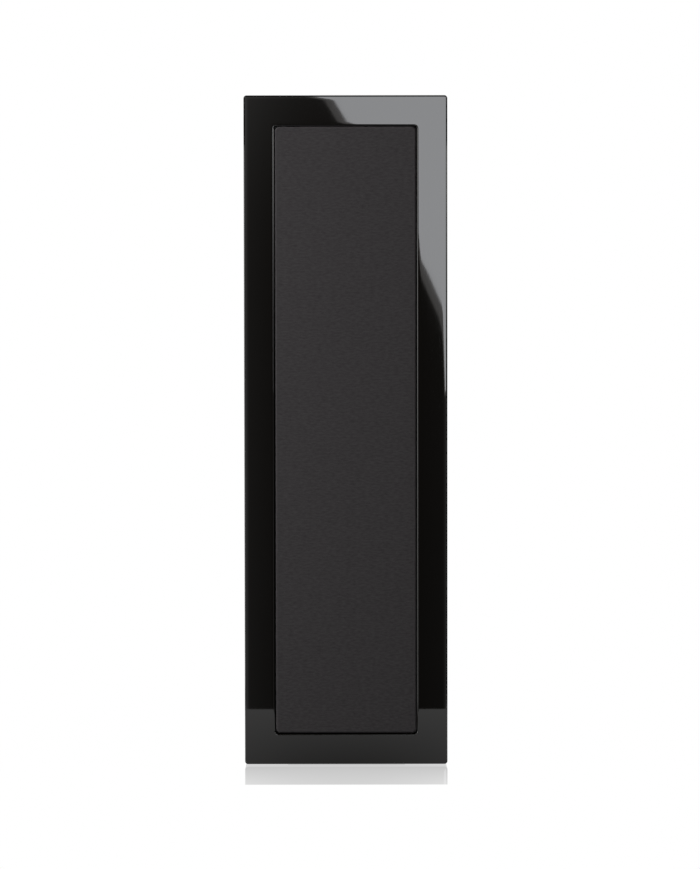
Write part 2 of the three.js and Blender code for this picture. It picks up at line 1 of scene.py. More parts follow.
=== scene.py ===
"""The looks of a floorstanding speaker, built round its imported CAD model, for Blender 4.5.

The shared frame is in metres: +Z up, the front facing -Y, the origin on the floor under the
cabinet's middle. Pieces are worked out in millimetres, and object_from() turns them into metres.
The drivers, the port and the posts are turned about Y: a turned profile is a list of (radius,
height) or (radius, height, corner radius), with the height measured outward from a face.
"""

import json
import math
import random
from collections import namedtuple

import bmesh
import bpy
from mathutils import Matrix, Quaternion, Vector

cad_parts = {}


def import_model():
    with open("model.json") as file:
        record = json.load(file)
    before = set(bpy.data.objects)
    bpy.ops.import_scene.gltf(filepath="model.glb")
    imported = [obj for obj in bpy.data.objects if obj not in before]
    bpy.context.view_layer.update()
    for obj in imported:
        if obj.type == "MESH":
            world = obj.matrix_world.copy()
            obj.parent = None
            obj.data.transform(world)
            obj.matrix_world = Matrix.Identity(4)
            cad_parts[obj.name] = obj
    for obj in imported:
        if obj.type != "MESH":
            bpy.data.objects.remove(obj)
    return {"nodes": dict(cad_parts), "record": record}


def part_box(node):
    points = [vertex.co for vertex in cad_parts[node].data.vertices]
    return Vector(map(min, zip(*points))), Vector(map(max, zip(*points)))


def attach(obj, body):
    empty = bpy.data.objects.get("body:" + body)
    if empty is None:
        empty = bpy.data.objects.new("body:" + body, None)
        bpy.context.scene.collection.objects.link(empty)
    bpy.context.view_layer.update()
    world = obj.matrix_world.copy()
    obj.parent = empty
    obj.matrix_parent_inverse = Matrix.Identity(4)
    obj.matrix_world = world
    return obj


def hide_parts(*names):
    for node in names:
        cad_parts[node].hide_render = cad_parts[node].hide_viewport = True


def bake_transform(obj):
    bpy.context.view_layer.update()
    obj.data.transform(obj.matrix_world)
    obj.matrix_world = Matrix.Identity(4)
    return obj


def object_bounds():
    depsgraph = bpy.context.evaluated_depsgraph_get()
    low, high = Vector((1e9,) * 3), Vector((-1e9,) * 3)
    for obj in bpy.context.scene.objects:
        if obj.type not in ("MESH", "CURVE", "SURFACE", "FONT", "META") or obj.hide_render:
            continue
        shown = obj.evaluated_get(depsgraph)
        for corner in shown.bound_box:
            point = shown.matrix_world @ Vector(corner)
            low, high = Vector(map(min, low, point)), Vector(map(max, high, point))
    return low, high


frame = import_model()
cad_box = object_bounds()

MM = 0.001
TURN_STEPS, SMALL_TURN_STEPS = 96, 64
SHARP_ANGLE = 32
FRONT = Vector((0, -1, 0))
REAR = Vector((0, 1, 0))
ASKEW = Vector((0.31, 0.17, 0.93))
Size = namedtuple("Size", "radius front back")


# ---- Materials ----


class Nodes:
    """Short ways to add nodes to a node tree."""

    def __init__(self, tree):
        self.tree = tree
        self.place = tree.nodes.new("ShaderNodeTexCoord").outputs["Object"]

    def node(self, kind, inputs=(), **settings):
        """A new node. An input's value is a number, a tuple or another node's output."""
        made = self.tree.nodes.new(kind)
        for setting, value in settings.items():
            setattr(made, setting, value)
        for socket, value in dict(inputs).items():
            if isinstance(value, bpy.types.NodeSocket):
                self.tree.links.new(value, made.inputs[socket])
            else:
                made.inputs[socket].default_value = value
        return made

    def math(self, operation, first, second=0.0):
        return self.node("ShaderNodeMath", {0: first, 1: second}, operation=operation).outputs[0]

    def product(self, first, *others):
        for other in others:
            first = self.math("MULTIPLY", first, other)
        return first

    def rest(self, share):
        """One less the share."""
        return self.math("SUBTRACT", 1, share)

    def fit(self, value, start, end, low, high, kind="LINEAR"):
        """Value's range from start to end, carried over to low to high and held there beyond."""
        inputs = {"Value": value, 1: start, 2: end, 3: low, 4: high}
        return self.node("ShaderNodeMapRange", inputs, interpolation_type=kind).outputs[0]

    def noise(self, size, detail=2.0, stretch=(1, 1, 1)):
        """Noise from 0 to 1 whose blotches are about size mm across, stretched along an axis."""
        scale = tuple(1 / s for s in stretch)
        place = self.node("ShaderNodeVectorMath", {0: self.place, 1: scale}, operation="MULTIPLY")
        inputs = {"Vector": place.outputs[0], "Scale": 1 / (size * MM), "Detail": detail}
        return self.node("ShaderNodeTexNoise", inputs).outputs["Fac"]

    def ramp(self, value, low, high):
        """Value, from 0 to 1, spread between low and high."""
        return self.fit(value, 0, 1, low, high)

    def stripes(self, axis, pitch):
        """Ridges from 0 to 1 across an axis, pitch mm apart."""
        along = self.node("ShaderNodeSeparateXYZ", {0: self.place}).outputs[axis]
        wave = self.math("SINE", self.math("MULTIPLY", along, math.pi / (pitch * MM)))
        return self.math("ABSOLUTE", wave)

    def weave(self, pitch):
        """A plain weave's height from 0 to 1, its threads pitch mm apart along X and Z."""
        split = self.node("ShaderNodeSeparateXYZ", {0: self.place})
        cells = [self.math("MULTIPLY", split.outputs[a], 1 / (pitch * MM)) for a in "XZ"]
        ridges = [
            self.math("ABSOLUTE", self.math("SINE", self.math("MULTIPLY", cell, math.pi)))
            for cell in cells
        ]
        sum_of_cells = self.math("ADD", *[self.math("FLOOR", cell) for cell in cells])
        over = self.math("ABSOLUTE", self.math("MODULO", sum_of_cells, 2.0))
        mix = self.node("ShaderNodeMix", {0: over, 2: ridges[0], 3: ridges[1]})
        return mix.outputs[0]


class Finish(Nodes):
    """A Principled material whose colour, roughness and bump can be given a pattern."""

    def __init__(self, name, color, roughness, **inputs):
        self.material = bpy.data.materials.new(name)
        self.material.use_nodes = True
        super().__init__(self.material.node_tree)
        self.surface = self.tree.nodes["Principled BSDF"]
        self.surface.inputs["Base Color"].default_value = (*color, 1)
        self.surface.inputs["Roughness"].default_value = roughness
        for socket, value in inputs.items():
            self.surface.inputs[socket.replace("_", " ")].default_value = value
        self.material.diffuse_color = (*color, 1)

    def color(self, share, first, second):
        """The base colour moves from first to second as share goes from 0 to 1."""
        mix = self.node(
            "ShaderNodeMix", {0: share, 6: (*first, 1), 7: (*second, 1)}, data_type="RGBA"
        )
        self.tree.links.new(mix.outputs[2], self.surface.inputs["Base Color"])
        return self

    def roughness(self, share, low, high):
        self.tree.links.new(self.ramp(share, low, high), self.surface.inputs["Roughness"])
        return self

    def bump(self, height, depth):
        """Raises the surface by height times depth, in mm, on top of any earlier bump."""
        normal = self.surface.inputs["Normal"]
        inputs = {"Height": height, "Distance": depth * MM, "Strength": 1.0}
        made = self.node("ShaderNodeBump", inputs)
        if normal.is_linked:
            self.tree.links.new(normal.links[0].from_socket, made.inputs["Normal"])
        self.tree.links.new(made.outputs["Normal"], normal)
        return self


def gloss_lacquer():
    """Polished black lacquer with a trace of orange peel."""
    made = Finish("gloss_lacquer", (0.0022, 0.0017, 0.0012), 0.03, IOR=1.5)
    made.roughness(made.noise(60, 3), 0.012, 0.03)
    return made.bump(made.noise(9, 1), 0.0007)


def satin_black():
    made = Finish("satin_black", (0.016, 0.016, 0.016), 0.5)
    made.color(made.noise(40, 4), (0.013, 0.013, 0.013), (0.019, 0.019, 0.0185))
    made.roughness(made.noise(14, 3), 0.42, 0.56)
    return made.bump(made.noise(0.9, 2), 0.03)


def bare_board():
    made = Finish("bare_board", (0.36, 0.24, 0.14), 0.85)
    made.color(made.noise(1.6, 6, (3, 3, 1)), (0.29, 0.19, 0.105), (0.45, 0.31, 0.185))
    return made.bump(made.noise(0.8, 4), 0.06)


def grille_cloth():
    """Tightly stretched acoustic cloth in a fine plain weave."""
    made = Finish("grille_cloth", (0.04, 0.037, 0.0385), 0.92, Specular_IOR_Level=0.12)
    weave = made.weave(1.1)
    slubs = made.noise(2.4, 3, (3, 1, 1))
    shade = made.math("MULTIPLY", made.ramp(weave, 0.5, 1.0), made.ramp(slubs, 0.45, 1.35))
    made.color(shade, (0.007, 0.0063, 0.0066), (0.052, 0.0484, 0.0502))
    made.bump(weave, 0.16)
    return made.bump(slubs, 0.12)


def black_plastic():
    made = Finish("black_plastic", (0.017, 0.017, 0.0175), 0.45)
    made.roughness(made.noise(9, 3), 0.36, 0.52)
    return made.bump(made.noise(0.55, 2), 0.025)


def black_rubber():
    made = Finish("black_rubber", (0.016, 0.016, 0.016), 0.75)
    made.color(made.noise(8, 5), (0.012, 0.012, 0.012), (0.024, 0.024, 0.0235))
    return made.bump(made.noise(0.7, 3), 0.04)


def surround_rubber():
    made = Finish("surround_rubber", (0.0105, 0.0105, 0.011), 0.5, Specular_IOR_Level=0.4)
    made.roughness(made.noise(12, 4), 0.42, 0.62)
    return made.bump(made.noise(1.4, 3), 0.012)


def cast_basket():
    """Cast alloy under a fine textured powder coat."""
    made = Finish("cast_basket", (0.02, 0.02, 0.021), 0.48)
    made.roughness(made.noise(5, 3), 0.4, 0.56)
    return made.bump(made.noise(0.8, 3), 0.05)


def plated_steel():
    made = Finish("plated_steel", (0.52, 0.53, 0.54), 0.32, Metallic=1.0)
    made.color(made.noise(22, 4), (0.45, 0.46, 0.48), (0.58, 0.585, 0.58))
    made.roughness(made.noise(6, 4), 0.26, 0.42)
    return made.bump(made.noise(0.9, 3), 0.01)


def black_steel():
    made = Finish("black_steel", (0.02, 0.02, 0.021), 0.35, Metallic=0.9)
    return made.bump(made.noise(0.7, 2), 0.01)


def ferrite():
    made = Finish("ferrite", (0.045, 0.046, 0.05), 0.7)
    made.color(made.noise(5, 6), (0.03, 0.031, 0.034), (0.065, 0.066, 0.07))
    return made.bump(made.noise(1.5, 5), 0.08)


def cone_paper():
    """Pulp with a satin coating: short fibres show through it."""
    made = Finish("cone_paper", (0.014, 0.0145, 0.016), 0.5)
    made.color(made.noise(2.2, 6), (0.010, 0.0105, 0.012), (0.022, 0.0225, 0.025))
    made.roughness(made.noise(2.5, 5), 0.4, 0.62)
    return made.bump(made.noise(1.1, 6), 0.06)


def spider_cloth():
    made = Finish("spider_cloth", (0.3, 0.17, 0.04), 0.8, Sheen_Weight=0.1)
    weave = made.weave(0.8)
    made.color(weave, (0.14, 0.075, 0.016), (0.4, 0.24, 0.07))
    return made.bump(weave, 0.12)


def enamelled_wire(name, axis, pitch, depth):
    """Enamelled copper wire, wound side by side along an axis."""
    made = Finish(name, (0.72, 0.27, 0.1), 0.25, Metallic=1.0, Coat_Weight=0.6)
    turns = made.stripes(axis, pitch)
    made.color(turns, (0.3, 0.09, 0.03), (0.8, 0.33, 0.13))
    return made.bump(turns, depth)


def copper_coil():
    return enamelled_wire("copper_coil", "Y", 0.45, 0.1)


def inductor_coil():
    return enamelled_wire("inductor_coil", "Z", 1.1, 0.3)


def coil_former():
    made = Finish("coil_former", (0.75, 0.76, 0.77), 0.3, Metallic=1.0)
    made.roughness(made.noise(3, 3), 0.24, 0.4)
    return made


def tweeter_plate():
    """Anodised aluminium with a very fine blast."""
    made = Finish("tweeter_plate", (0.028, 0.028, 0.029), 0.42, Metallic=0.75)
    made.roughness(made.noise(7, 3), 0.36, 0.48)
    return made.bump(made.noise(0.4, 2), 0.008)


def dome_silk():
    made = Finish("dome_silk", (0.02, 0.02, 0.022), 0.5, Coat_Weight=0.25, Coat_Roughness=0.4)
    weave = made.weave(0.35)
    made.color(weave, (0.012, 0.012, 0.014), (0.03, 0.03, 0.033))
    return made.bump(weave, 0.03)


def gold_plate():
    made = Finish("gold_plate", (0.83, 0.56, 0.22), 0.16, Metallic=1.0)
    made.roughness(made.noise(2, 3), 0.12, 0.24)
    return made


def knob_plastic(name, color):
    made = Finish(name, color, 0.22, Coat_Weight=0.5, Coat_Roughness=0.08)
    made.roughness(made.noise(3, 3), 0.18, 0.3)
    return made


def red_knob():
    return knob_plastic("red_knob", (0.42, 0.012, 0.012))


def black_knob():
    return knob_plastic("black_knob", (0.012, 0.012, 0.012))


def circuit_board():
    """Glass-filled board under a green solder mask, with wide tracks showing through."""
    made = Finish("circuit_board", (0.015, 0.11, 0.045), 0.35, Coat_Weight=0.4)
    track = made.math("GREATER_THAN", made.noise(26, 0, (2.5, 1, 1)), 0.52)
    made.color(track, (0.01, 0.075, 0.03), (0.025, 0.16, 0.065))
    return made.bump(track, 0.04)


def capacitor_film():
    made = Finish("capacitor_film", (0.62, 0.42, 0.06), 0.28, Coat_Weight=0.3)
    layers = made.noise(3, 3, (12, 1, 1))
    made.color(layers, (0.55, 0.36, 0.045), (0.7, 0.5, 0.09))
    return made.bump(layers, 0.05)


def cable_jacket():
    made = Finish("cable_jacket", (0.32, 0.02, 0.02), 0.45)
    made.roughness(made.noise(6, 3), 0.38, 0.55)
    return made.bump(made.noise(1.2, 3), 0.03)


def braided_sleeve():
    """A black braid, woven from flat strands."""
    made = Finish("braided_sleeve", (0.014, 0.014, 0.015), 0.55)
    braid = made.weave(1.6)
    made.color(braid, (0.006, 0.006, 0.006), (0.024, 0.024, 0.026))
    return made.bump(braid, 0.25)


def wadding():
    made = Finish("wadding", (0.8, 0.79, 0.75), 0.95, Sheen_Weight=0.4, Subsurface_Weight=0.15)
    fibres = made.noise(4, 8, (1, 1, 4))
    made.color(fibres, (0.62, 0.61, 0.57), (0.88, 0.87, 0.84))
    return made.bump(fibres, 1.2)


FINISHES = {
    make.__name__: make()
    for make in (
        gloss_lacquer, satin_black, bare_board, grille_cloth, black_plastic, black_rubber,
        surround_rubber, cast_basket, plated_steel, ferrite, cone_paper, spider_cloth,
        copper_coil, tweeter_plate, dome_silk, gold_plate, red_knob, black_knob, circuit_board,
        capacitor_film, cable_jacket, wadding, braided_sleeve, inductor_coil, coil_former,
        black_steel,
    )
}
SLOT_OF = {row["node"]: row["material_slot"] for row in frame["record"]["subparts"]}
BODY_OF = {
    node: body
    for body, members in frame["record"]["behaviour"]["bodies"].items()
    for node in members
}


# ---- Shapes ----


def smooth_by_angle(mesh, degrees):
    """Smooth shading, broken at edges that turn by more than the angle."""
    shape = bmesh.new()
    shape.from_mesh(mesh)
    for face in shape.faces:
        face.smooth = True
    limit = math.radians(degrees)
    for edge in shape.edges:
        edge.smooth = len(edge.link_faces) == 2 and edge.calc_face_angle(0.0) < limit
    shape.to_mesh(mesh)
    shape.free()


def object_from(name, made, sharp=SHARP_ANGLE):
    """A Blender object from (points in mm, faces), with its faces turned outward."""
    points, faces = made
    mesh = bpy.data.meshes.new(name)
    mesh.from_pydata([Vector(p) * MM for p in points], [], faces)
    shape = bmesh.new()
    shape.from_mesh(mesh)
    bmesh.ops.recalc_face_normals(shape, faces=shape.faces)
    shape.to_mesh(mesh)
    shape.free()
    smooth_by_angle(mesh, sharp)
    obj = bpy.data.objects.new(name, mesh)
    bpy.context.scene.collection.objects.link(obj)
    return obj


def dress(obj, slot, finish=None):
    """Gives a piece a material slot, with that slot's finish or another one by its name."""
    obj.data.materials.clear()
    obj.data.materials.append(FINISHES[finish or slot].material)


def add(name, made, node, stands=True, slot=None, finish=None, sharp=SHARP_ANGLE):
    """A piece that rides on the node's body and, if stands, is shown in the node's place."""
    obj = object_from(name, made, sharp)
    dress(obj, slot or SLOT_OF[node], finish)
    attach(obj, BODY_OF[node])
    if stands:
        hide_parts(node)
    return obj


def keep(node, bevel):
    """Shows a CAD node as it is, with its finish and with edges softened by bevel mm."""
    obj = frame["nodes"][node]
    obj.data.materials.clear()
    obj.data.materials.append(FINISHES[SLOT_OF[node]].material)
    weld = obj.modifiers.new("weld", "WELD")
    weld.merge_threshold = 1e-6
    soft = obj.modifiers.new("bevel", "BEVEL")
    soft.width = bevel * MM
    soft.segments = 3
    soft.limit_method = "ANGLE"
    soft.angle_limit = math.radians(50)
    soft.harden_normals = True


def joined(*parts):
    """Several closed shells as the points and faces of one piece."""
    points, faces = [], []
    for more_points, more_faces in parts:
        start = len(points)
        points += more_points
        faces += [[i + start for i in face] for face in more_faces]
    return points, faces


def rounded(outline, steps=5):
    """The outline's points, with an arc-like curve at each point that gives a corner radius. The
    ends of an open outline give none."""
    made = []
    count = len(outline)
    for i, (x, y, *radius) in enumerate(outline):
        if not radius or not radius[0]:
            made.append((x, y))
            continue
        corner = Vector((x, y))
        before = Vector(outline[i - 1][:2])
        after = Vector(outline[(i + 1) % count][:2])
        reach = min(radius[0], (before - corner).length * 0.49, (after - corner).length * 0.49)
        first = corner + (before - corner).normalized() * reach
        last = corner + (after - corner).normalized() * reach
        for step in range(steps + 1):
            t = step / steps
            made.append(tuple(first * (1 - t) ** 2 + corner * (2 * t * (1 - t)) + last * t**2))
    return made


def plain_ring(inner, outer, low, high, corners, steps=5):
    """A ring's section. Its corner radii go from the inner low corner by way of the outer ones."""
    places = [(inner, low), (outer, low), (outer, high), (inner, high)]
    return rounded([(*place, radius) for place, radius in zip(places, corners)], steps=steps)


def dome_line(reach, base, rise):
    """A dome's section, from its top on the axis down to its base."""
    shares = [i / 14 for i in range(15)]
    return [(reach * s, base + rise * (1 - s * s)) for s in shares]


def sheet_outline(line, thickness):
    """The closed outline of a thin sheet whose middle follows the line."""
    points = [Vector(p) for p in line]
    sides = []
    for sign in (1, -1):
        side = []
        for i, point in enumerate(points):
            along = points[min(i + 1, len(points) - 1)] - points[max(i - 1, 0)]
            across = Vector((-along.y, along.x)).normalized() * (sign * thickness / 2)
            if point.x == 0:
                across = Vector((0, sign * thickness / 2))
            side.append(tuple(point + across))
        sides.append(side)
    return sides[0] + sides[1][::-1]


def arc(x, y, radius, start, end, steps):
    """Points on an arc, from the start angle to the end angle in degrees."""
    angles = [math.radians(start + (end - start) * i / steps) for i in range(steps + 1)]
    return [(x + radius * math.cos(a), y + radius * math.sin(a)) for a in angles]


def turned(profile, centre, out=FRONT, steps=TURN_STEPS, swell=None):
    """Points and faces of a profile turned about Y through centre, its heights along out.
    swell, if given, changes a radius from (profile index, radius, angle)."""
    points, rows = [], []
    for index, (radius, height) in enumerate(profile):
        level = centre.y + out.y * height
        if radius < 1e-6:
            rows.append([len(points)] * steps)
            points.append((centre.x, level, centre.z))
            continue
        rows.append(list(range(len(points), len(points) + steps)))
        for step in range(steps):
            angle = 2 * math.pi * step / steps
            reach = swell(index, radius, angle) if swell else radius
            points.append(
                (centre.x + reach * math.cos(angle), level, centre.z + reach * math.sin(angle))
            )
    on_axis = profile[0][0] < 1e-6 and profile[-1][0] < 1e-6
    pairs = list(zip(rows, rows[1:])) + ([] if on_axis else [(rows[-1], rows[0])])
    faces = []
    for low, high in pairs:
        for step in range(steps):
            after = (step + 1) % steps
            corners = [low[step], low[after], high[after], high[step]]
            face = list(dict.fromkeys(corners))
            if len(face) > 2:
                faces.append(face)
    return points, faces


def oblong(width, height, radius, y, middle, steps=8):
    """The points of a rectangle with round corners, in the plane y."""
    points = []
    for side_x, side_z, start in ((1, -1, -90), (1, 1, 0), (-1, 1, 90), (-1, -1, 180)):
        x = middle[0] + side_x * (width / 2 - radius)
        z = middle[1] + side_z * (height / 2 - radius)
        points += [(px, y, pz) for px, pz in arc(x, z, radius, start, start + 90, steps)]
    return points


def loft(rings, closed):
    """Skins a row of equal rings. Closed joins the last to the first, and open ends are capped."""
    size = len(rings[0])
    points = [p for ring in rings for p in ring]
    starts = [size * i for i in range(len(rings))]
    pairs = list(zip(starts, starts[1:])) + ([(starts[-1], 0)] if closed else [])
    faces = [
        [low + i, low + (i + 1) % size, high + (i + 1) % size, high + i]
        for low, high in pairs
        for i in range(size)
    ]
    if not closed:
        faces += [list(range(size)), list(range(starts[-1], starts[-1] + size))]
    return points, faces


def box_mm(node):
    """The node's lowest and highest corners in mm."""
    low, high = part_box(node)
    return low / MM, high / MM


def inset_rings(node, section, steps=8):
    """Rings round the node's box as seen from the front, one for each (inset, y, corner)."""
    low, high = box_mm(node)
    width, height = high.x - low.x, high.z - low.z
    middle = (0, (low.z + high.z) / 2)
    return [
        oblong(width - 2 * inset, height - 2 * inset, corner, y, middle, steps)
        for inset, y, corner in section
    ]


def cut(obj, *cutters):
    """Cuts closed shapes out of a piece for good."""
    for i, made in enumerate(cutters):
        tool = object_from(f"cutter_{i}", made)
        step = obj.modifiers.new("cut", "BOOLEAN")
        step.operation = "DIFFERENCE"
        step.solver = "EXACT"
        step.object = tool
    graph = bpy.context.evaluated_depsgraph_get()
    mesh = bpy.data.meshes.new_from_object(obj.evaluated_get(graph))
    tools = [step.object for step in obj.modifiers]
    obj.modifiers.clear()
    for tool in tools:
        bpy.data.objects.remove(tool)
    obj.data = mesh
    smooth_by_angle(mesh, SHARP_ANGLE)


# ---- Cabinet ----


def crown(distance, reach, drop):
    """How far the lacquer falls away at a distance from an edge it was polished over, in mm."""
    return drop * max(0.0, 1 - distance / reach) ** 2


def edge_quarter(radius, steps=6):
    """(inset, depth) of a quarter round edge, from the side to the face."""
    angles = [math.pi / 2 * i / steps for i in range(steps + 1)]
    return [(radius * (1 - math.cos(a)), radius * (1 - math.sin(a))) for a in angles]


def front_frame():
    """A picture frame whose lacquered bars are flat but for a soft fall towards their edges."""
    low, high = box_mm("front_frame")
    opening = box_mm("grille_cloth")
    gap, edge = 0.7, 1.9
    outer_corner, inner_corner = 4.5, 4.5
    outer_fall, inner_fall = (5.0, 0.028), (4.0, 0.010)
    steps = [0.5, 1.1, 1.8, 2.6, 3.5, 4.6, 6.5]
    inner = (high.x - low.x - (opening[1].x - opening[0].x)) / 2 - gap
    back = high.y - low.y
    section = [(0, back)]
    section += [(inset, depth + outer_fall[1]) for inset, depth in edge_quarter(edge)]
    section += [(edge + d, crown(d, *outer_fall)) for d in steps]
    section += [(inner - edge - d, crown(d, *inner_fall)) for d in reversed(steps)]
    inner_quarter = reversed(edge_quarter(edge))
    section += [(inner - inset, depth + inner_fall[1]) for inset, depth in inner_quarter]
    section.append((inner, back))

    def corner(inset):
        """The radius of the bars' corners: a true offset over both rounded edges."""
        first, last = outer_corner - edge, inner_corner + edge
        if inset < edge:
            return outer_corner - inset
        if inset > inner - edge:
            return inner_corner + inner - inset
        return first + (last - first) * (inset - edge) / (inner - 2 * edge)

    rows = [(inset, low.y + depth, corner(inset)) for inset, depth in section]
    rings = inset_rings("front_frame", rows)
    add("front_frame_lacquered", loft(rings, True), "front_frame", sharp=50)


def cabinet_shell():
    """The lacquered wrap of four sides, its rear edges rounded inside and outside."""
    low, high = box_mm("cabinet_shell")
    wall, edge, inside_edge = 20, 1.9, 0.8
    outer_corner, inner_corner = 4.5, 1.5
    section = [(0, low.y, outer_corner), (0, high.y - 30, outer_corner)]
    section += [(inset, high.y - depth, outer_corner) for inset, depth in edge_quarter(edge)]
    section += [
        (wall - inset, high.y - depth, inner_corner)
        for inset, depth in reversed(edge_quarter(inside_edge))
    ]
    section.append((wall, low.y, inner_corner))
    rings = inset_rings("cabinet_shell", section)
    add("cabinet_shell_lacquered", loft(rings, True), "cabinet_shell", sharp=50)


def baffle():
    """The board behind the grille, with a rebated round hole for each driver and a bore for
    each grille socket."""
    low, high = box_mm("baffle")
    through = high.y - low.y + 5
    woofer_ledge, mid_ledge, tweeter_hole = 13.5, 10.5, 29
    cutters = []
    for driver in ("woofer_upper", "woofer_lower", "mid"):
        reach, centre = flange_of(f"{driver}_basket")
        ledge = mid_ledge if driver == "mid" else woofer_ledge
        cutters.append(rebate(centre, reach, reach - ledge, through))
    reach, centre = flange_of("tweeter_faceplate")
    cutters.append(rebate(centre, reach, tweeter_hole, through))
    for index in range(1, 5):
        reach, centre = flange_of(f"grille_socket_{index}")
        hole = [(0, 3), (reach + 0.9, 3), (reach + 0.9, 0), (reach + 0.2, -0.7)]
        cutters.append(turned(hole + [(reach + 0.2, -through), (0, -through)], centre, FRONT, 32))
    broken, corner = 0.4, 1.0
    section = [(broken, low.y), (0, low.y + broken), (0, high.y - broken), (broken, high.y)]
    rings = inset_rings("baffle", [(inset, y, corner) for inset, y in section], 2)
    obj = add("baffle_board", loft(rings, False), "baffle")
    cut(obj, *cutters)
    dress(obj, "satin_black")


def flange_of(node):
    """A round node's radius, and the middle of its front face, in mm."""
    low, high = box_mm(node)
    return (high.x - low.x) / 2, Vector(((low.x + high.x) / 2, low.y, (low.z + high.z) / 2))


def rebate(centre, reach, hole, through):
    """A cutter for a flange of radius reach that lies flush over a round hole."""
    fit, chamfer, depth = 0.35, 0.6, 4.8
    profile = [
        (0, 3), (reach + fit + chamfer, 3), (reach + fit + chamfer, 0), (reach + fit, -chamfer),
        (reach + fit, -depth), (hole, -depth), (hole, -through), (0, -through),
    ]
    return turned(profile, centre, FRONT)


# ---- Grille ----


def grille_cloth_piece():
    """The cloth, pulled over the moulded frame's rounded edge and glued down behind it."""
    low, high = box_mm("grille_cloth")
    peg = 14
    back = box_mm("grille_frame")[1].y - peg
    thick, hem, edge = 0.7, 9.0, 3.2
    corner, least_corner = 7.0, 1.5
    outer = [(hem, back + thick), (0.8, back + thick), (0, back)]
    outer += [(inset, low.y + depth) for inset, depth in edge_quarter(edge, 8)]
    inner = [(hem, back), (thick + 0.6, back), (thick, back - 0.6)]
    inner += [(thick + i, low.y + thick + d) for i, d in edge_quarter(edge - thick, 8)]
    section = inner[::-1] + outer
    rows = [(inset, y, max(corner - inset, least_corner)) for inset, y in section]
    rings = inset_rings("grille_cloth", rows, 10)
    obj = add("grille_cloth_stretched", loft(rings, False), "grille_cloth", sharp=60)


def grille_sockets():
    """Rubber bushes in the baffle that hold the grille's pegs, each with a thin lip."""
    bore, lip, deep = 3.95, 0.9, 12
    for index in range(1, 5):
        node = f"grille_socket_{index}"
        reach, centre = flange_of(node)
        profile = rounded([
            (bore, 0, 0.7), (reach + lip, 0.4, 0.4), (reach + lip, -0.4), (reach, -0.6),
            (reach, -deep, 0.6), (bore, -deep, 0.4),
        ])
        add(f"{node}_rubber", turned(profile, centre, FRONT, 48), node)


# ---- Drivers ----


def driver_sizes(name):
    """What the frame says of a driver, in mm. Heights are forward of the baffle's face."""
    flange, centre = flange_of(f"{name}_basket")
    face = centre.y

    def part(node):
        low, high = box_mm(f"{name}_{node}")
        return Size((high.x - low.x) / 2, face - low.y, face - high.y)

    return flange, centre, part


def screw_heads(centre, ring, count, head, turn, out=FRONT):
    """Socket-head screws on a ring: round heads with a six-sided socket."""
    socket = head * 0.5

    def swell(index, radius, angle):
        if index not in socket_points:
            return radius
        sixth = math.pi / 3
        return radius / math.cos((angle % sixth) - sixth / 2)

    profile = rounded([
        (head, -0.6), (head, 1.2, 0.5), (socket * 1.25, 1.2, 0.15), (socket, 0.7), (socket, -0.4), (0, -0.4),
    ], steps=3)
    socket_points = range(len(profile) - 3, len(profile) - 1)
    heads = []
    for index in range(count):
        angle = math.radians(turn + 360 * index / count)
        place = centre + Vector((ring * math.cos(angle), 0, ring * math.sin(angle)))
        heads.append(turned([(0, -0.6)] + profile, place, out, 36, swell))
    return joined(*heads)


def add_screws(name, heads, node):
    """Blackened screws that hold the node's piece."""
    add(name, heads, node, stands=False, slot="plated_steel", finish="black_steel", sharp=30)


def spoke(inner, outer, low, high, angle, width, centre):
    """One cast arm of a basket, a curved and tapered bar from the rim to the rear ring."""
    rings = []
    steps = 10
    for step in range(steps + 1):
        t = step / steps
        reach = outer + (inner - outer) * t**1.35
        height = high + (low - high) * t
        half, deep = width * (0.62 - 0.22 * math.sin(math.pi * t)), 3.0 + 1.2 * (1 - t)
        section = rounded([
            (-half, -deep, 1.2), (half, -deep, 1.2), (half * 0.7, deep, 1.2), (-half * 0.7, deep, 1.2)
        ], steps=3)
        ring = []
        for across, out in section:
            x, z = reach + out, across
            ring.append((
                centre.x + x * math.cos(angle) - z * math.sin(angle),
                centre.y - height,
                centre.z + x * math.sin(angle) + z * math.cos(angle),
            ))
        rings.append(ring)
    return loft(rings, False)


def basket(name, flange, centre, part):
    """The cast frame: a rim on the baffle, a rear ring on the magnet, a shelf for the spider and
    six arms between them."""
    thick, lip = 4.5, -1.5
    land = part("surround").radius + 0.4
    throat = land - 6.5 * flange / 86
    magnet, coil = part("magnet").radius, part("voice_coil").radius
    seat = part("basket").back
    ledge = part("spider").back - 0.4
    spider = part("spider").radius
    rim = rounded([
        (throat, -thick, 0.8), (flange - 0.4, -thick, 0.3), (flange, -4, 0.3), (flange, 0, 1.1),
        (land, 0, 0.7), (land, lip, 0.3), (throat, lip, 0.4),
    ])
    rear = plain_ring(coil + 3, magnet, seat, seat + 4, (0.4, 0.8, 1.4, 0.8))
    shelf = plain_ring(spider - 6.5, spider + 3.5, ledge - 3, ledge, (0.6, 0.8, 0.5, 0.4))
    arms = [
        spoke(magnet - 3, throat + 1.5, seat + 1.5, -4, math.radians(30 + 60 * i), flange / 7, centre)
        for i in range(6)
    ]
    rings = [turned(p, centre) for p in (rim, rear, shelf)]
    add(f"{name}_cast_basket", joined(*rings, *arms), f"{name}_basket", sharp=40)


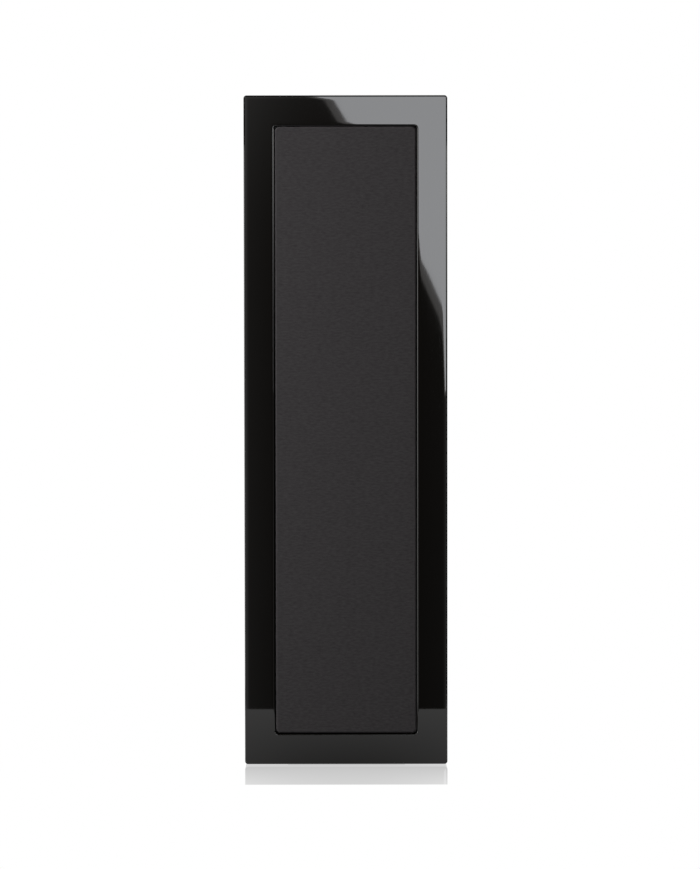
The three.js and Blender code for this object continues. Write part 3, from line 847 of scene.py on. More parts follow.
def cone(name, part, centre):
    """The cone's curved wall, its flat lip and, where there is no dust cap, its closed middle."""
    size = part("cone")
    lip = size.front - 0.6
    has_cap = f"{name}_dust_cap" in frame["nodes"]
    neck_radius = part("voice_coil").radius - 1.1
    neck = size.back + 0.6
    inner = size.radius - 4
    line = []
    if not has_cap:
        rise = 4.0
        line += [(neck_radius * s, neck + rise * (1 - s * s)) for s in (0, 0.2, 0.4, 0.6, 0.8, 0.93)]
    steps = 20
    for step in range(steps + 1):
        t = step / steps
        line.append((neck_radius + (inner - neck_radius) * t, neck + (lip - neck) * t**0.8))
    line += [(inner + 1.3, lip + 0.25), (size.radius, lip + 0.25)]
    profile = sheet_outline(line, 0.9)
    add(f"{name}_coated_cone", turned(profile, centre), f"{name}_cone", sharp=40)


def surround(name, part, centre):
    """The half roll, its inner rim on the cone and its outer rim on the basket."""
    size = part("surround")
    inside = part("cone").radius
    thick = 0.9
    base = -0.75
    roll = size.front - base - thick / 2
    middle = inside + roll
    bead = 1.2
    line = [(inside - 3.6, base), (inside - bead, base)]
    line += arc(middle, base, roll, 180, 0, 28)
    line += [(middle + roll + bead, base), (size.radius, base)]
    bends = [(*place, 0.5) for place in line[1:-1]]
    profile = rounded([line[0], *bends, line[-1]], steps=1)
    obj = object_from(f"{name}_half_roll", turned(sheet_outline(profile, thick), centre), 60)
    dress(obj, "surround_rubber")
    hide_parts(f"{name}_surround")
    bend(obj, name, centre, inside)


def bend(obj, name, centre, moving):
    """Bakes a round piece's placement into its mesh and works out each point's radius about the axis, which
    nothing uses: the piece is not bent, and the moving radius is not used.
    """
    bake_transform(obj)
    for vertex in obj.data.vertices:
        point = vertex.co / MM
        reach = math.hypot(point.x - centre.x, point.z - centre.z)


def spider(name, part, centre):
    """The corrugated disc, glued to the coil former and to the basket's shelf."""
    size = part("spider")
    inner = part("voice_coil").radius - 0.5
    level = (size.front + size.back) / 2
    outer = size.radius
    flat = 5.0
    waves, steps = 5, 90
    line = [(outer, level)]
    span = outer - flat - inner
    for step in range(steps + 1):
        t = step / steps
        fade = min(1.0, 6 * t, 6 * (1 - t))
        line.append((outer - flat - span * t, level + 1.1 * fade * math.sin(2 * math.pi * waves * t)))
    profile = sheet_outline(line, 0.5)
    obj = object_from(f"{name}_corrugated_spider", turned(profile, centre), 60)
    dress(obj, "spider_cloth")
    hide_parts(f"{name}_spider")
    bend(obj, name, centre, inner + 1)


def dust_cap(name, part, centre):
    """The domed cap glued over the cone's neck."""
    size = part("dust_cap")
    reach = size.radius - 0.4
    base, rise = size.back + 0.4, size.front - size.back - 1.0
    profile = sheet_outline(dome_line(reach, base, rise), 0.9)
    add(f"{name}_domed_cap", turned(profile, centre), f"{name}_dust_cap", sharp=50)


def voice_coil(name, part, centre):
    """An aluminium former and the copper winding on its rear end."""
    size = part("voice_coil")
    wire = size.radius
    bore = wire - 1.2
    plate = part("top_plate")
    winding = plain_ring(wire - 0.6, wire, plate.back - 5, plate.front + 5, (0.2,) * 4, 2)
    former = plain_ring(bore, wire - 0.65, size.back, size.front, (0,) * 4)
    node = f"{name}_voice_coil"
    add(f"{name}_coil_winding", turned(winding, centre), node)
    add(f"{name}_coil_former", turned(former, centre), node, stands=False, finish="coil_former")


def motor(name, part, centre):
    """Top plate, magnet ring and yoke."""
    coil = part("voice_coil").radius
    plate_gap, magnet_gap = 1.1, 4.4
    plate, magnet, yoke = part("top_plate"), part("magnet"), part("yoke")
    profile = plain_ring(coil + plate_gap, plate.radius, plate.back, plate.front, (0.3, 0.8, 0.8, 0.3))
    add(f"{name}_front_plate", turned(profile, centre), f"{name}_top_plate")
    profile = plain_ring(coil + magnet_gap, magnet.radius, magnet.back, magnet.front, (1, 1.6, 1.6, 1))
    add(f"{name}_ferrite_ring", turned(profile, centre), f"{name}_magnet")
    pole, vent = coil - 1.9, 4.0
    rear, rim = yoke.back, yoke.radius
    yoke_profile = rounded([
        (vent, rear, 1.5), (rim * 0.42, rear, 1), (rim * 0.5, rear + 1.2, 1), (rim, rear + 1.8, 1.5),
        (rim, magnet.back - 0.3, 0.6), (pole, magnet.back - 0.3, 0.8),
        (pole, yoke.front - 0.2, 0.8), (vent, yoke.front - 0.2, 0.8),
    ])
    add(f"{name}_vented_yoke", turned(yoke_profile, centre), f"{name}_yoke")


def square_to(path, i):
    """Two directions square to a path at its point i, and to each other."""
    along = (path[min(i + 1, len(path) - 1)] - path[max(i - 1, 0)]).normalized()
    side = along.cross(ASKEW).normalized()
    return side, along.cross(side)


def tube(path, radius, sides=10):
    """A round wire along a path of points in mm."""
    points = [Vector(p) for p in path]
    rings = []
    for i, point in enumerate(points):
        side, other = square_to(points, i)
        angles = [2 * math.pi * step / sides for step in range(sides)]
        rings.append([
            tuple(point + (side * math.cos(a) + other * math.sin(a)) * radius) for a in angles
        ])
    return loft(rings, False)


def curve_through(points, steps=8):
    """Points on a smooth curve through the given ones."""
    spots = [Vector(p) for p in points]
    spots = [spots[0] * 2 - spots[1]] + spots + [spots[-1] * 2 - spots[-2]]
    made = []
    for a, b, c, d in zip(spots, spots[1:], spots[2:], spots[3:]):
        for step in range(steps):
            t = step / steps
            made.append((b * 2 + (c - a) * t + (a * 2 - b * 5 + c * 4 - d) * t**2
                         + (b * 3 - a - c * 3 + d) * t**3) / 2)
    return made + [spots[-2]]


def tinsel_leads(name, part, centre):
    """Two braided leads that hang in a loop from the basket's shelf to the back of the cone."""
    cone, shelf = part("cone"), part("spider")
    away, level = shelf.radius - 1, shelf.front + 1.6
    neck = part("voice_coil").radius
    share = 0.42
    reach = neck + (cone.radius - 4 - neck) * share
    behind = cone.back + (cone.front - cone.back) * share**0.8 - 1.4
    for side in (-1, 1):
        low = centre + Vector((-4 * side, 0, side * away)) - Vector((0, level, 0))
        high = centre + Vector((4 * side, 0, side * reach)) - Vector((0, behind, 0))
        middle = (low + high) / 2 + Vector((0, 2.5, side * 3))
        label = "upper" if side > 0 else "lower"
        obj = object_from(
            f"{name}_tinsel_{label}", tube(curve_through([low, middle, high]), 0.7), 60
        )
        dress(obj, "copper_coil")
        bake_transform(obj)


def cone_driver(name):
    """A woofer or the midrange: every piece of it, and its six screws."""
    flange, centre, part = driver_sizes(name)
    basket(name, flange, centre, part)
    motor(name, part, centre)
    voice_coil(name, part, centre)
    spider(name, part, centre)
    cone(name, part, centre)
    if f"{name}_dust_cap" in frame["nodes"]:
        dust_cap(name, part, centre)
    surround(name, part, centre)
    tinsel_leads(name, part, centre)
    ring = (flange + part("surround").radius + 0.4) / 2
    add_screws(f"{name}_screws", screw_heads(centre, ring, 6, flange * 0.038, 0), f"{name}_basket")


def tweeter():
    """A faceplate with a shallow horn, the coated dome, and the motor and chamber behind it."""
    reach, centre = flange_of("tweeter_faceplate")
    horn = [(16.2, -4.7), (18.5, -4.2), (22, -3), (26, -1.75), (30, -0.85), (34.5, -0.35), (37.5, 0)]
    plate = horn + rounded([
        (40, 0), (reach, 0, 1.1), (reach, -4, 0.4), (28, -4, 0.4), (28, -6.5, 0.3), (16.2, -6.5)
    ])
    add("tweeter_horn_plate", turned(plate, centre), "tweeter_faceplate", sharp=25)
    add_screws("tweeter_screws", screw_heads(centre, reach - 6, 4, 2.4, 45), "tweeter_faceplate")

    top = centre.y - box_mm("tweeter_dome")[0].y
    foot, dome, roll = -7.5, 12.5, 1.3
    line = dome_line(dome, foot, top - foot)
    line += arc(dome + 0.2 + roll, foot, roll, 180, 0, 10)
    profile = sheet_outline(line, 0.28)
    add("tweeter_silk_dome", turned(profile, centre), "tweeter_dome", sharp=60)

    pot = 27
    front, rear = [centre.y - corner.y for corner in box_mm("tweeter_motor")]
    profile = rounded([
        (0, rear), (pot, rear, 1.5), (pot, front, 0.8), (16.4, front, 0.4), (16.4, -9, 0.4),
        (13.3, -9), (13.3, -15), (11.3, -15), (11.3, -9, 0.6), (0, -9),
    ])
    add("tweeter_steel_pot", turned(profile, centre), "tweeter_motor")

    cup, wall = 24, 2.5
    front, rear = [centre.y - corner.y for corner in box_mm("tweeter_chamber")]
    profile = rounded([
        (0, rear), (cup, rear, 4), (cup, front, 0.6), (cup - wall, front, 0.6),
        (cup - wall, rear + wall, 2), (0, rear + wall),
    ])
    add("tweeter_rear_cup", turned(profile, centre), "tweeter_chamber")


def mid_enclosure():
    """The sealed pot behind the midrange, with a flange on the baffle."""
    low, high = box_mm("mid_enclosure")
    reach, centre = flange_of("mid_enclosure")
    deep = high.y - low.y
    inner, wall = reach - 12, 4
    profile = rounded([
        (0, -deep), (inner + wall, -deep, 10), (inner + wall, -wall, 2), (reach, -wall, 0.8),
        (reach, 0, 0.8), (inner, 0, 0.8), (inner, wall - deep, 8), (0, wall - deep),
    ])
    add("mid_moulded_pot", turned(profile, centre), "mid_enclosure", sharp=40)


# ---- Rear ----


def port():
    """The bass port: a tube whose mouth opens in a smooth flare."""
    low, high = box_mm("port_tube")
    flange = (high.x - low.x) / 2
    face = Vector((0, high.y, (low.z + high.z) / 2))
    deep = high.y - low.y
    bore, wall, flare = 30, 3, 13
    panel = box_mm("back_panel")
    seat = panel[1].y - high.y + 0.3
    inside = panel[0].y - high.y - 0.3
    curve = [
        (bore + flare * (1 - math.cos(a)), -22 * (1 - math.sin(a)))
        for a in [math.pi / 2 * i / 16 for i in range(17)]
    ]
    outside = rounded([
        (flange - 0.6, 0), (flange, -1.4, 0.6), (flange, seat, 0.3), (bore + 10, seat),
        (bore + 10, inside), (bore + wall, inside - 6), (bore + wall, 0.4 - deep, 0.8),
        (bore, 0.4 - deep),
    ])
    add("port_flared_tube", turned(curve + outside, face, REAR), "port_tube", sharp=40)
    add_screws("port_screws", screw_heads(face, flange - 2.9, 4, 1.7, 45, REAR), "port_tube")


def terminal_cup():
    """A dished moulding with a wide flange, its walls leaning in a little for the mould."""
    low, high = box_mm("terminal_cup")
    basin, wall, floor, lean = 11.0, 3.0, 4.0, 1.5
    rim = basin + wall
    section = [
        (basin, low.y, 6), (basin, high.y - 3, 6), (0.3, high.y - 3, 8), (0, high.y - 2.6, 8),
        (0, high.y - 0.9, 8), (0.3, high.y - 0.25, 8), (1.0, high.y, 7.5),
        (rim - 1.6, high.y, 6), (rim - 0.6, high.y - 0.4, 5.5), (rim, high.y - 1.5, 5),
        (rim + lean, low.y + floor + 2, 5), (rim + lean + 0.7, low.y + floor + 0.6, 4.5),
        (rim + lean + 2.2, low.y + floor, 4),
    ]
    rings = inset_rings("terminal_cup", section)
    add("terminal_cup_moulded", loft(rings, False), "terminal_cup", sharp=40)


def corner_screws(node, inset, head):
    """Four screws in the corners of a rectangular flange at the rear."""
    low, high = box_mm(node)
    heads = []
    for x in (low.x + inset, high.x - inset):
        for z in (low.z + inset, high.z - inset):
            heads.append(screw_heads(Vector((x, high.y, z)), 0, 1, head, 0, REAR))
    add_screws(f"{node}_screws", joined(*heads), node)


def thread(radius, low, high):
    """The outline of a screwed length, from low to high, as a row of ridges."""
    pitch, depth = 0.8, 0.35
    count = int((high - low) / pitch)
    line = []
    for i in range(count):
        line += [(radius - depth, low + pitch * i), (radius, low + pitch * (i + 0.5))]
    return line + [(radius - depth, low + pitch * count)]


def binding_post(name):
    """A plated stem, a clamp ring and a ribbed knob."""
    low, high = box_mm(f"{name}_stem")
    axis = Vector(((low.x + high.x) / 2, 0, (low.z + high.z) / 2))
    floor = box_mm("terminal_cup")[0].y + 4
    stem, socket = 3.9, 2.1
    tip = high.y
    base = floor + 4
    pin = 2.2
    profile = rounded([(0, low.y), (pin, low.y, 0.4), (pin, low.y + 8)])
    profile += rounded([
        (stem, low.y + 8), (stem, floor - 8.5), (6.5, floor - 8.5, 0.5), (6.5, floor - 4.3, 0.5),
        (stem, floor - 4.3), (stem, floor + 0.3), (8, floor + 0.3, 0.4), (8, base, 0.6), (stem - 0.35, base),
    ])
    profile += thread(stem, base + 0.6, tip - 1)
    profile += rounded([
        (stem - 0.4, tip - 0.5), (stem - 0.7, tip, 0.3), (socket + 0.3, tip, 0.2), (socket, tip - 0.4),
        (socket, tip - 18), (0, tip - 18),
    ])
    add(f"{name}_threaded_stem", turned(profile, axis, REAR, 48), f"{name}_stem", sharp=30)

    low, high = box_mm(f"{name}_clamp_ring")
    ring = plain_ring(stem + 0.5, 8, low.y, high.y, (0.2, 0.3, 0.5, 0.3))
    add(f"{name}_plated_ring", turned(ring, axis, REAR, SMALL_TURN_STEPS), f"{name}_clamp_ring")

    low, high = box_mm(f"{name}_knob")
    grip = (high.x - low.x) / 2
    skirt = 4.0
    profile = rounded([
        (stem + 0.4, low.y, 0.3), (grip, low.y, 0.6), (grip, low.y + skirt, 0.5),
        (grip - 0.8, low.y + skirt + 0.4, 0.3), (grip - 0.5, low.y + skirt + 1.6, 0.5),
        (grip - 0.5, high.y - 3.2, 0.8), (grip - 1.2, high.y - 2.4, 0.4), (grip - 1.4, high.y, 0.8),
        (4.9, high.y, 0.4), (4.9, high.y - 1.8), (stem + 0.4, high.y - 1.8),
    ], steps=4)
    ribs, deep = 18, 0.55
    ribbed = [
        i for i, (r, h) in enumerate(profile)
        if r > grip - 1 and low.y + skirt + 1 < h < high.y - 3
    ]

    def swell(index, radius, angle):
        if index not in ribbed:
            return radius
        return radius - deep * (0.5 + 0.5 * math.cos(ribs * angle)) ** 2

    add(f"{name}_ribbed_knob", turned(profile, axis, REAR, 144, swell), f"{name}_knob", sharp=40)
    cap = plain_ring(socket + 0.6, 4.8, high.y - 1.7, high.y, (0, 0, 0.4, 0.4))
    add(f"{name}_plated_cap", turned(cap, axis, REAR, SMALL_TURN_STEPS), f"{name}_knob",
        stands=False, slot="gold_plate")


# ---- Inside ----


def upright(profile, centre):
    """A profile turned about the vertical through centre."""
    points, faces = turned(profile, Vector((0, 0, 0)), REAR, SMALL_TURN_STEPS)
    return [(centre.x + x, centre.y - z, centre.z + y) for x, y, z in points], faces


def crosswise(profile, centre):
    """A profile turned about the X axis through centre."""
    points, faces = turned(profile, Vector((0, 0, 0)), REAR, SMALL_TURN_STEPS)
    return [(centre.x + y, centre.y + x, centre.z + z) for x, y, z in points], faces


def crossover():
    """The board, two coils wound on their bobbins and two wrapped capacitors."""
    keep("crossover_board", 0.4)
    for node in ("crossover_bass_coil", "crossover_treble_coil"):
        low, high = box_mm(node)
        reach, tall = (high.x - low.x) / 2, high.z - low.z
        core = reach * 0.46
        centre = Vector(((low.x + high.x) / 2, (low.y + high.y) / 2, low.z))
        winding = rounded([
            (core, 1.2, 1), (reach - 0.4, 1.2, 2.5), (reach, tall * 0.5, 2), (reach - 0.4, tall - 1.2, 2.5),
            (core, tall - 1.2, 1),
        ])
        add(f"{node}_winding", upright(winding, centre), node, finish="inductor_coil")
        former = rounded([
            (core - 1.2, 0, 0.3), (reach - 2, 0, 0.4), (reach - 2, 1, 0.3), (core - 0.1, 1),
            (core - 0.1, tall - 1), (reach - 2, tall - 1, 0.3), (reach - 2, tall, 0.4),
            (core - 1.2, tall, 0.3),
        ])
        add(f"{node}_bobbin", upright(former, centre), node, stands=False, slot="black_plastic")
    for node in ("crossover_bass_capacitor", "crossover_treble_capacitor"):
        low, high = box_mm(node)
        reach, half = (high.z - low.z) / 2, (high.x - low.x) / 2
        centre = (low + high) / 2
        body = rounded([
            (0, -half + 1), (reach - 2.5, -half + 1, 0.5), (reach - 1.2, -half, 0.4), (reach, -half, 1),
            (reach, half, 1), (reach - 1.2, half, 0.4), (reach - 2.5, half - 1, 0.5), (0, half - 1),
        ])
        add(f"{node}_wrapped", crosswise(body, centre), node)


def crossover_leads():
    """The wire ends of the coils and capacitors, bent down into the board."""
    top = box_mm("crossover_board")[1].z
    wires = []
    for node in ("crossover_bass_capacitor", "crossover_treble_capacitor"):
        low, high = box_mm(node)
        y, z = (low.y + high.y) / 2, (low.z + high.z) / 2
        for side, start in ((-1, low.x), (1, high.x)):
            ends = [(start - side, y, z), (start + side * 3, y, z), (start + side * 5.5, y, z - 2.5),
                    (start + side * 5.5, y, top - 1)]
            wires.append(tube(curve_through(ends, 4), 0.5))
    for node in ("crossover_bass_coil", "crossover_treble_coil"):
        low, high = box_mm(node)
        x, y = (low.x + high.x) / 2, (low.y + high.y) / 2
        reach = (high.x - low.x) / 2
        for angle, height in ((2.0, high.z - 4), (2.5, low.z + 4)):
            out = Vector((math.cos(angle), math.sin(angle), 0))
            edge = Vector((x, y, height))
            ends = [edge + out * (reach - 2), edge + out * (reach + 2)]
            foot = edge + out * (reach + 3)
            ends += [Vector((foot.x, foot.y, height - 2)), Vector((foot.x, foot.y, top - 1))]
            wires.append(tube(curve_through(ends, 4), 0.6))
    add("crossover_wire_ends", joined(*wires), "crossover_board", stands=False, slot="plated_steel")


def twisted(path, offset, radius, lead, start):
    """One wire of a pair twisted round the path, its axis offset from it, lead mm to a turn."""
    turn, points = start, []
    for i, point in enumerate(path):
        turn += 2 * math.pi * (point - path[max(i - 1, 0)]).length / lead
        side, other = square_to(path, i)
        points.append(point + (side * math.cos(turn) + other * math.sin(turn)) * offset)
    return tube(points, radius, 8)


def harness():
    """A sleeved trunk up one side, with a twisted pair to each driver and post, from a plug on
    the crossover. The routes follow those of the CAD model."""
    x, y = box_mm("wiring_harness")[0].x + 3.5, 5
    trunk = [(-66, 34, 46), (x, y, 90), (x, y, 300), (x, y, 500), (x, y, 700), (x, y, 850)]
    routes = []
    for name in ("woofer_lower", "woofer_upper"):
        _, centre, part = driver_sizes(name)
        tag, magnet = centre.y - part("basket").back - 2.5, part("magnet").radius
        routes.append([
            (x, y, centre.z - 60), (x + 6, y - 20, centre.z - 30),
            (-magnet - 26, tag + 6, centre.z), (-magnet - 11, tag, centre.z),
        ])
    mid, treble = flange_of("mid_basket")[1].z, flange_of("tweeter_faceplate")[1].z
    routes.append([(x, y, 700), (x + 8, y, 740), (-60, y, mid), (-45, -10, mid), (-45, -31, mid)])
    routes.append([(x, y, 845), (x + 5, y, 870), (-60, -40, treble), (-34, -100, treble)])
    post = flange_of("post_positive_stem")[1]
    routes.append([(-54, 40, 46), (-40, 60, 80), (-post.x, 78, 120), (-post.x, 84, post.z)])
    routes.append([(-50, 40, 44), (-20, 62, 78), (post.x, 78, 120), (post.x, 84, post.z)])
    red, black = [], []
    offset, radius, lead = 0.95, 1.0, 26
    for route in routes:
        path = curve_through(route, 14)
        red.append(twisted(path, offset, radius, lead, 0))
        black.append(twisted(path, offset, radius, lead, math.pi))
    node = "wiring_harness"
    add("harness_red_wires", joined(*red), node, sharp=60)
    add("harness_black_wires", joined(*black), node, stands=False, slot="black_plastic", sharp=60)
    sleeve = tube(curve_through(trunk, 12), 3.4, 20)
    add("harness_sleeve", sleeve, node, stands=False, slot="black_plastic",
        finish="braided_sleeve", sharp=60)
    rings = [
        oblong(34 - 2 * i, 14 - 2 * i, 1.5, py, (-60, 39.5), 4)
        for i, py in ((0.8, 28), (0, 28.8), (0, 35), (0.5, 35.2), (0.5, 36), (0, 36.2), (0, 43.2), (0.8, 44))
    ]
    add("harness_plug", loft(rings, False), node, stands=False, slot="black_plastic")


def wadding_pad():
    """A loose pad: rounded, and lumpy from its fibres. Its lumps only ever go inward."""
    low, high = box_mm("wadding")
    size = high - low
    counts = (24, 8, 48)
    soft = 22.0
    rng = random.Random(7)
    waves = [
        (Vector([rng.uniform(-1, 1) for _ in range(3)]) * 0.09, rng.uniform(0, 6.28)) for _ in range(14)
    ]
    points, index, faces = [], {}, []

    def corner(i, j, k):
        if (i, j, k) not in index:
            unit = Vector((i / counts[0], j / counts[1], k / counts[2])) * 2 - Vector((1, 1, 1))
            place = Vector([unit[a] * size[a] / 2 for a in range(3)])
            core = Vector([max(-size[a] / 2 + soft, min(size[a] / 2 - soft, place[a])) for a in range(3)])
            away = place - core
            if away.length > 0:
                lump = sum(math.sin(place.dot(w) + p) for w, p in waves) / len(waves)
                place = core + away.normalized() * min(away.length, soft) * (0.9 + 0.28 * min(lump, 0.35))
            index[(i, j, k)] = len(points)
            points.append(tuple(place + (low + high) / 2))
        return index[(i, j, k)]

    for axis in range(3):
        u, v = [a for a in range(3) if a != axis]
        for end in (0, counts[axis]):
            for a in range(counts[u]):
                for b in range(counts[v]):
                    face = []
                    for da, db in ((0, 0), (1, 0), (1, 1), (0, 1)):
                        at = [0, 0, 0]
                        at[axis], at[u], at[v] = end, a + da, b + db
                        face.append(corner(*at))
                    faces.append(face)
    obj = add("wadding_pad", (points, faces), "wadding", sharp=180)
    soften = obj.modifiers.new("soften", "SUBSURF")
    soften.levels = 1
    soften.render_levels = 1


# ---- Stage ----


def glow(name, color, strength, fade=None):
    """A glowing material for a card. Fade gives the heights at which it starts and is full."""
    made = bpy.data.materials.new(name)
    made.use_nodes = True
    made.node_tree.nodes.clear()
    nodes = Nodes(made.node_tree)
    shader = nodes.node("ShaderNodeEmission", {"Color": (*color, 1), "Strength": strength})
    if fade:
        height = nodes.node("ShaderNodeSeparateXYZ", {0: nodes.place}).outputs["Z"]
        share = nodes.fit(height, *fade, 0, 1, "SMOOTHSTEP")
        clear = nodes.node("ShaderNodeBsdfTransparent")
        mix = {0: share, 1: clear.outputs[0], 2: shader.outputs[0]}
        shader = nodes.node("ShaderNodeMixShader", mix)
    nodes.node("ShaderNodeOutputMaterial", {"Surface": shader.outputs[0]})
    return made


def card(name, points, material):
    """A flat glowing card that only mirrors see, from points in metres."""
    mesh = bpy.data.meshes.new(name)
    mesh.from_pydata(points, [], [list(range(len(points)))])
    obj = bpy.data.objects.new(name, mesh)
    bpy.context.scene.collection.objects.link(obj)
    mesh.materials.append(material)
    obj.visible_camera = False
    obj.visible_diffuse = False
    obj.visible_shadow = False


def camera():
    """A long lens a little above the cabinet's middle, pitched down and rolled by a hair."""
    distance, frame_height, roll = 5.0, 1.2945, -0.0014
    front = cad_box[0].y
    eye = Vector((0.0062, front - distance, 0.69))
    target = Vector((0.0062, front, 0.4957))
    data = bpy.data.cameras.new("camera")
    data.lens = data.sensor_width * distance / frame_height
    data.clip_end = 50
    obj = bpy.data.objects.new("camera", data)
    obj.location = eye
    obj.rotation_mode = "QUATERNION"
    look = (target - eye).to_track_quat("-Z", "Y")
    obj.rotation_quaternion = look @ Quaternion((0, 0, 1), roll)
    bpy.context.scene.collection.objects.link(obj)
    bpy.context.scene.camera = obj
    return eye


def mirrored(outline, eye, away):
    """The corners of a card, away from the front face, that the eye sees mirrored in that face
    at the outline's (x, z) places."""
    front = cad_box[0].y
    grow = 1 + away / (front - eye.y)
    return [
        (eye.x + (x - eye.x) * grow, front - away, eye.z + (z - eye.z) * grow) for x, z in outline
    ]


def softbox(eye):
    """The large softbox that shows in the lacquer beyond the top right corner, and its dim rim."""
    away, rim_width = 4.0, (0.0105, 0.006)
    edge = [(-0.041, 1.032), (-0.0001, 0.9645), (0.121, 0.7391), (0.1489, 0.6765), (0.18, 0.56)]
    beyond = [(0.3, 0.56), (0.3, 1.1), (-0.08, 1.1)]
    rim = [(x - rim_width[0], z - rim_width[1]) for x, z in edge]
    card("softbox", mirrored(edge + beyond, eye, away), glow("softbox", (0.975, 0.99, 1.02), 6.3))
    rim_card = mirrored(rim + beyond, eye, away + 0.05)
    card("softbox_rim", rim_card, glow("softbox_rim", (1.03, 1, 0.98), 1.05))


def side_cards():
    """Tall strips far to both sides, that draw light lines deep in the opening's rounded edges."""
    top = 1.12
    for name, side, bottom, color, strength, fade in (
        ("strip_left", -1, -0.6, (1, 0.99, 0.98), 6.0, (-1.4, 1.0)),
        ("strip_right", 1, 0.4, (1, 0.98, 0.95), 7.0, (0.55, 1.1)),
    ):
        near, far = (2.0 * side, -1.75), (2.5 * side, -0.4)
        points = [(*far, bottom), (*near, bottom), (*near, top), (*far, top)]
        card(name, points, glow(name, color, strength, fade))


def flag(eye):
    """A narrow dark roof in front, edge-on to what the front face mirrors, that keeps light off
    the edges that face up."""
    near, far, height = 0.03, 4.0, 1.09
    front = cad_box[0].y
    rise = (height - eye.z) / (front - eye.y)
    corners = [(-0.2, near), (0.2, near), (0.32, far), (-0.32, far)]
    outline = [(x, front - away, height + rise * away) for x, away in corners]
    card("flag", outline, glow("flag", (1, 1, 1), 0.03))


def area_light(name, place, target, size, power):
    data = bpy.data.lights.new(name, "AREA")
    data.shape = "RECTANGLE"
    data.size, data.size_y = size
    data.energy = power
    obj = bpy.data.objects.new(name, data)
    obj.location = place
    obj.rotation_mode = "QUATERNION"
    obj.rotation_quaternion = (Vector(target) - Vector(place)).to_track_quat("-Z", "Y")
    obj.visible_camera = False
    obj.visible_glossy = False
    bpy.context.scene.collection.objects.link(obj)


def lights():
    """A soft key from the upper left, a fill from the right, and two lights behind."""
    area_light("key", (-2.08, -1.1, 1.6), (0, 0, 0.6), (0.8, 0.8), 105)
    area_light("fill", (2.0, -2.2, 1.5), (0, 0, 0.8), (1.0, 1.4), 14)
    area_light("rear_left", (-1.7, 1.9, 1.9), (0, 0, 0.4), (0.8, 1.2), 150)
    area_light("rear_right", (2.3, 2.4, 0.9), (0, 0, 0.4), (0.6, 1.8), 60)


def world():
    """White to the camera. Mirrors see white above, and below it a dim room with soft upright
    lights round it, which are faint where they are level with the front."""
    made = bpy.data.worlds.new("studio")
    bpy.context.scene.world = made
    made.use_nodes = True
    made.node_tree.nodes.clear()
    nodes = Nodes(made.node_tree)
    direction = nodes.node("ShaderNodeTexCoord").outputs["Generated"]
    split = nodes.node("ShaderNodeSeparateXYZ", {0: direction})
    x, y, z = split.outputs
    math = nodes.math

    middle_x, patch_width, patch_height = 0.003, 0.03, 0.06
    patch_growth, patch_dark, patch_bright = 0.062, 0.05, 0.7
    offset = math("DIVIDE", math("SUBTRACT", x, middle_x), patch_width)
    across = math("POWER", math("ABSOLUTE", offset), 2)
    upward = math("POWER", math("DIVIDE", math("MAXIMUM", z, 0), patch_height), 2)
    off_axis = math("POWER", math("ADD", across, upward), 2)
    dark = math("ADD", nodes.product(off_axis, patch_growth), patch_dark)
    dark = math("MINIMUM", dark, patch_bright)
    sideways = math("MAXIMUM", math("ABSOLUTE", x), math("GREATER_THAN", y, 0))
    beside = nodes.fit(sideways, 0.06, 0.2, 0, 1, "SMOOTHSTEP")

    lights_round, light_dark, light_bright, lift_below, calm_share = 15, 0.12, 1.15, 0.35, 0.92
    noise = nodes.node("ShaderNodeTexNoise", {"Vector": direction, "Scale": 2.5, "Detail": 1})
    turn = math("ADD", math("ARCTAN2", x, y), noise.outputs["Fac"])
    sine = math("SINE", nodes.product(turn, lights_round))
    wave = nodes.fit(sine, -0.4, 1, light_dark, light_bright, "SMOOTHSTEP")
    lift = nodes.fit(z, -0.6, 0.0, lift_below, 1.0)
    ahead = nodes.fit(y, -0.1, 0.0, 1, 0)
    level = nodes.fit(z, -0.24, -0.18, 0, 1)
    calm = nodes.rest(nodes.product(ahead, level, calm_share))
    room = nodes.node("ShaderNodeMix", {0: beside, 2: dark, 3: nodes.product(wave, lift, calm)})

    white_above, on_matt = 0.1, 0.14
    above = math("GREATER_THAN", z, white_above)
    seen = nodes.node("ShaderNodeMix", {0: above, 2: room.outputs[0], 3: 1.0})
    rays = nodes.node("ShaderNodeLightPath").outputs
    lit = nodes.node("ShaderNodeMix", {0: rays["Is Glossy Ray"], 2: on_matt, 3: seen.outputs[0]})
    final = nodes.node("ShaderNodeMix", {0: rays["Is Camera Ray"], 2: lit.outputs[0], 3: 1.0})
    shader = nodes.node("ShaderNodeBackground", {"Color": (1, 1, 1, 1), "Strength": final.outputs[0]})
    nodes.node("ShaderNodeOutputWorld", {"Surface": shader.outputs[0]})


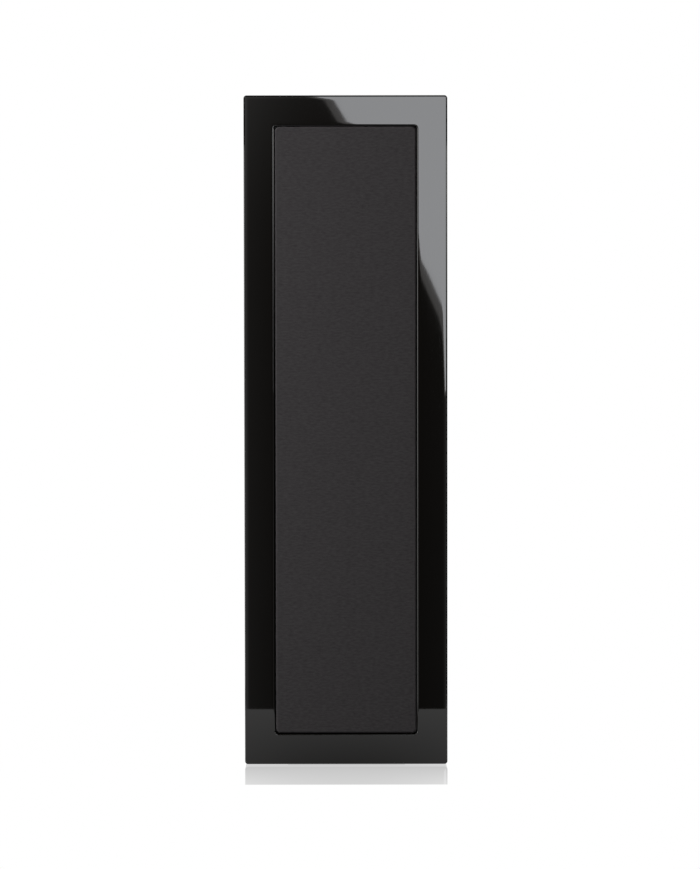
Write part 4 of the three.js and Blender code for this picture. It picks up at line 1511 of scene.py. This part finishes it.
def floor():
    """A white floor that mirrors the cabinet's foot, more weakly farther out. Its mirror image
    is cropped in front. The lacquer sees the floor white, shaded near the foot."""
    low, high = cad_box
    reach, cropped_at, edge_loss = 0.70, 0.2, 0.42
    corners = [
        (low.x - reach, low.y - reach), (high.x + reach, low.y - reach),
        (high.x + reach, high.y + reach), (low.x - reach, high.y + reach),
    ]
    mesh = bpy.data.meshes.new("floor")
    mesh.from_pydata([(x, y, 0) for x, y in corners], [], [[0, 1, 2, 3]])
    obj = bpy.data.objects.new("floor", mesh)
    bpy.context.scene.collection.objects.link(obj)
    obj.visible_diffuse = False
    made = bpy.data.materials.new("floor")
    made.use_nodes = True
    made.node_tree.nodes.clear()
    nodes = Nodes(made.node_tree)
    math = nodes.math
    x, y, _ = nodes.node("ShaderNodeSeparateXYZ", {0: nodes.place}).outputs
    rays = nodes.node("ShaderNodeLightPath").outputs

    beside = math("MAXIMUM", math("SUBTRACT", math("ABSOLUTE", x), high.x), 0)
    behind = math("MAXIMUM", math("SUBTRACT", y, high.y), 0)
    ahead = math("MAXIMUM", math("SUBTRACT", low.y, y), 0)
    away = math("ADD", math("ADD", beside, behind), ahead)
    off_middle = math("POWER", math("DIVIDE", math("ABSOLUTE", x), high.x), 2)

    mirror_at_foot, mirror_reach = 0.46, 0.9
    side_loss = nodes.product(off_middle, ahead, edge_loss)
    share = math("SUBTRACT", nodes.fit(away, 0, mirror_reach, mirror_at_foot, 0), side_loss)
    cropped = math("GREATER_THAN", ahead, cropped_at)
    mirror = nodes.product(math("MAXIMUM", share, 0), nodes.rest(cropped))
    mirror = nodes.product(mirror, nodes.rest(rays["Is Glossy Ray"]))

    white, shade_at_foot, shade_reach = 0.93, 0.58, 0.75
    fade = nodes.fit(math("ADD", beside, behind), 0.3, reach, white, 0, "SMOOTHSTEP")
    middle = nodes.rest(nodes.product(off_middle, edge_loss))
    near = nodes.fit(away, 0, shade_reach, shade_at_foot, 0)
    shade = nodes.product(math("MAXIMUM", middle, 0), near)
    in_lacquer = nodes.product(fade, nodes.rest(shade))
    strength = nodes.node("ShaderNodeMix", {0: rays["Is Glossy Ray"], 2: 1.0, 3: in_lacquer})
    emission = nodes.node("ShaderNodeEmission", {"Strength": strength.outputs[0]})
    gloss = nodes.node("ShaderNodeBsdfGlossy", {"Color": (1, 1, 1, 1), "Roughness": 0.03})
    mix = nodes.node(
        "ShaderNodeMixShader", {0: mirror, 1: emission.outputs[0], 2: gloss.outputs[0]}
    )
    nodes.node("ShaderNodeOutputMaterial", {"Surface": mix.outputs[0]})
    mesh.materials.append(made)


# ---- Assembly ----

bpy.context.scene.view_settings.view_transform = "Standard"
world()
floor()
lights()
eye = camera()
softbox(eye)
flag(eye)
side_cards()

front_frame()
cabinet_shell()
keep("back_panel", 0.5)
baffle()
for brace in ("brace_upper", "brace_lower"):
    keep(brace, 0.6)
for strip in ("foot_strip_front", "foot_strip_rear"):
    keep(strip, 0.4)
grille_cloth_piece()
keep("grille_frame", 0.6)
grille_sockets()
for driver in ("woofer_upper", "woofer_lower", "mid"):
    cone_driver(driver)
tweeter()
mid_enclosure()
port()
terminal_cup()
corner_screws("terminal_cup", 6.5, 2.2)
for post in ("post_positive", "post_negative"):
    binding_post(post)
crossover()
crossover_leads()
harness()
wadding_pad()
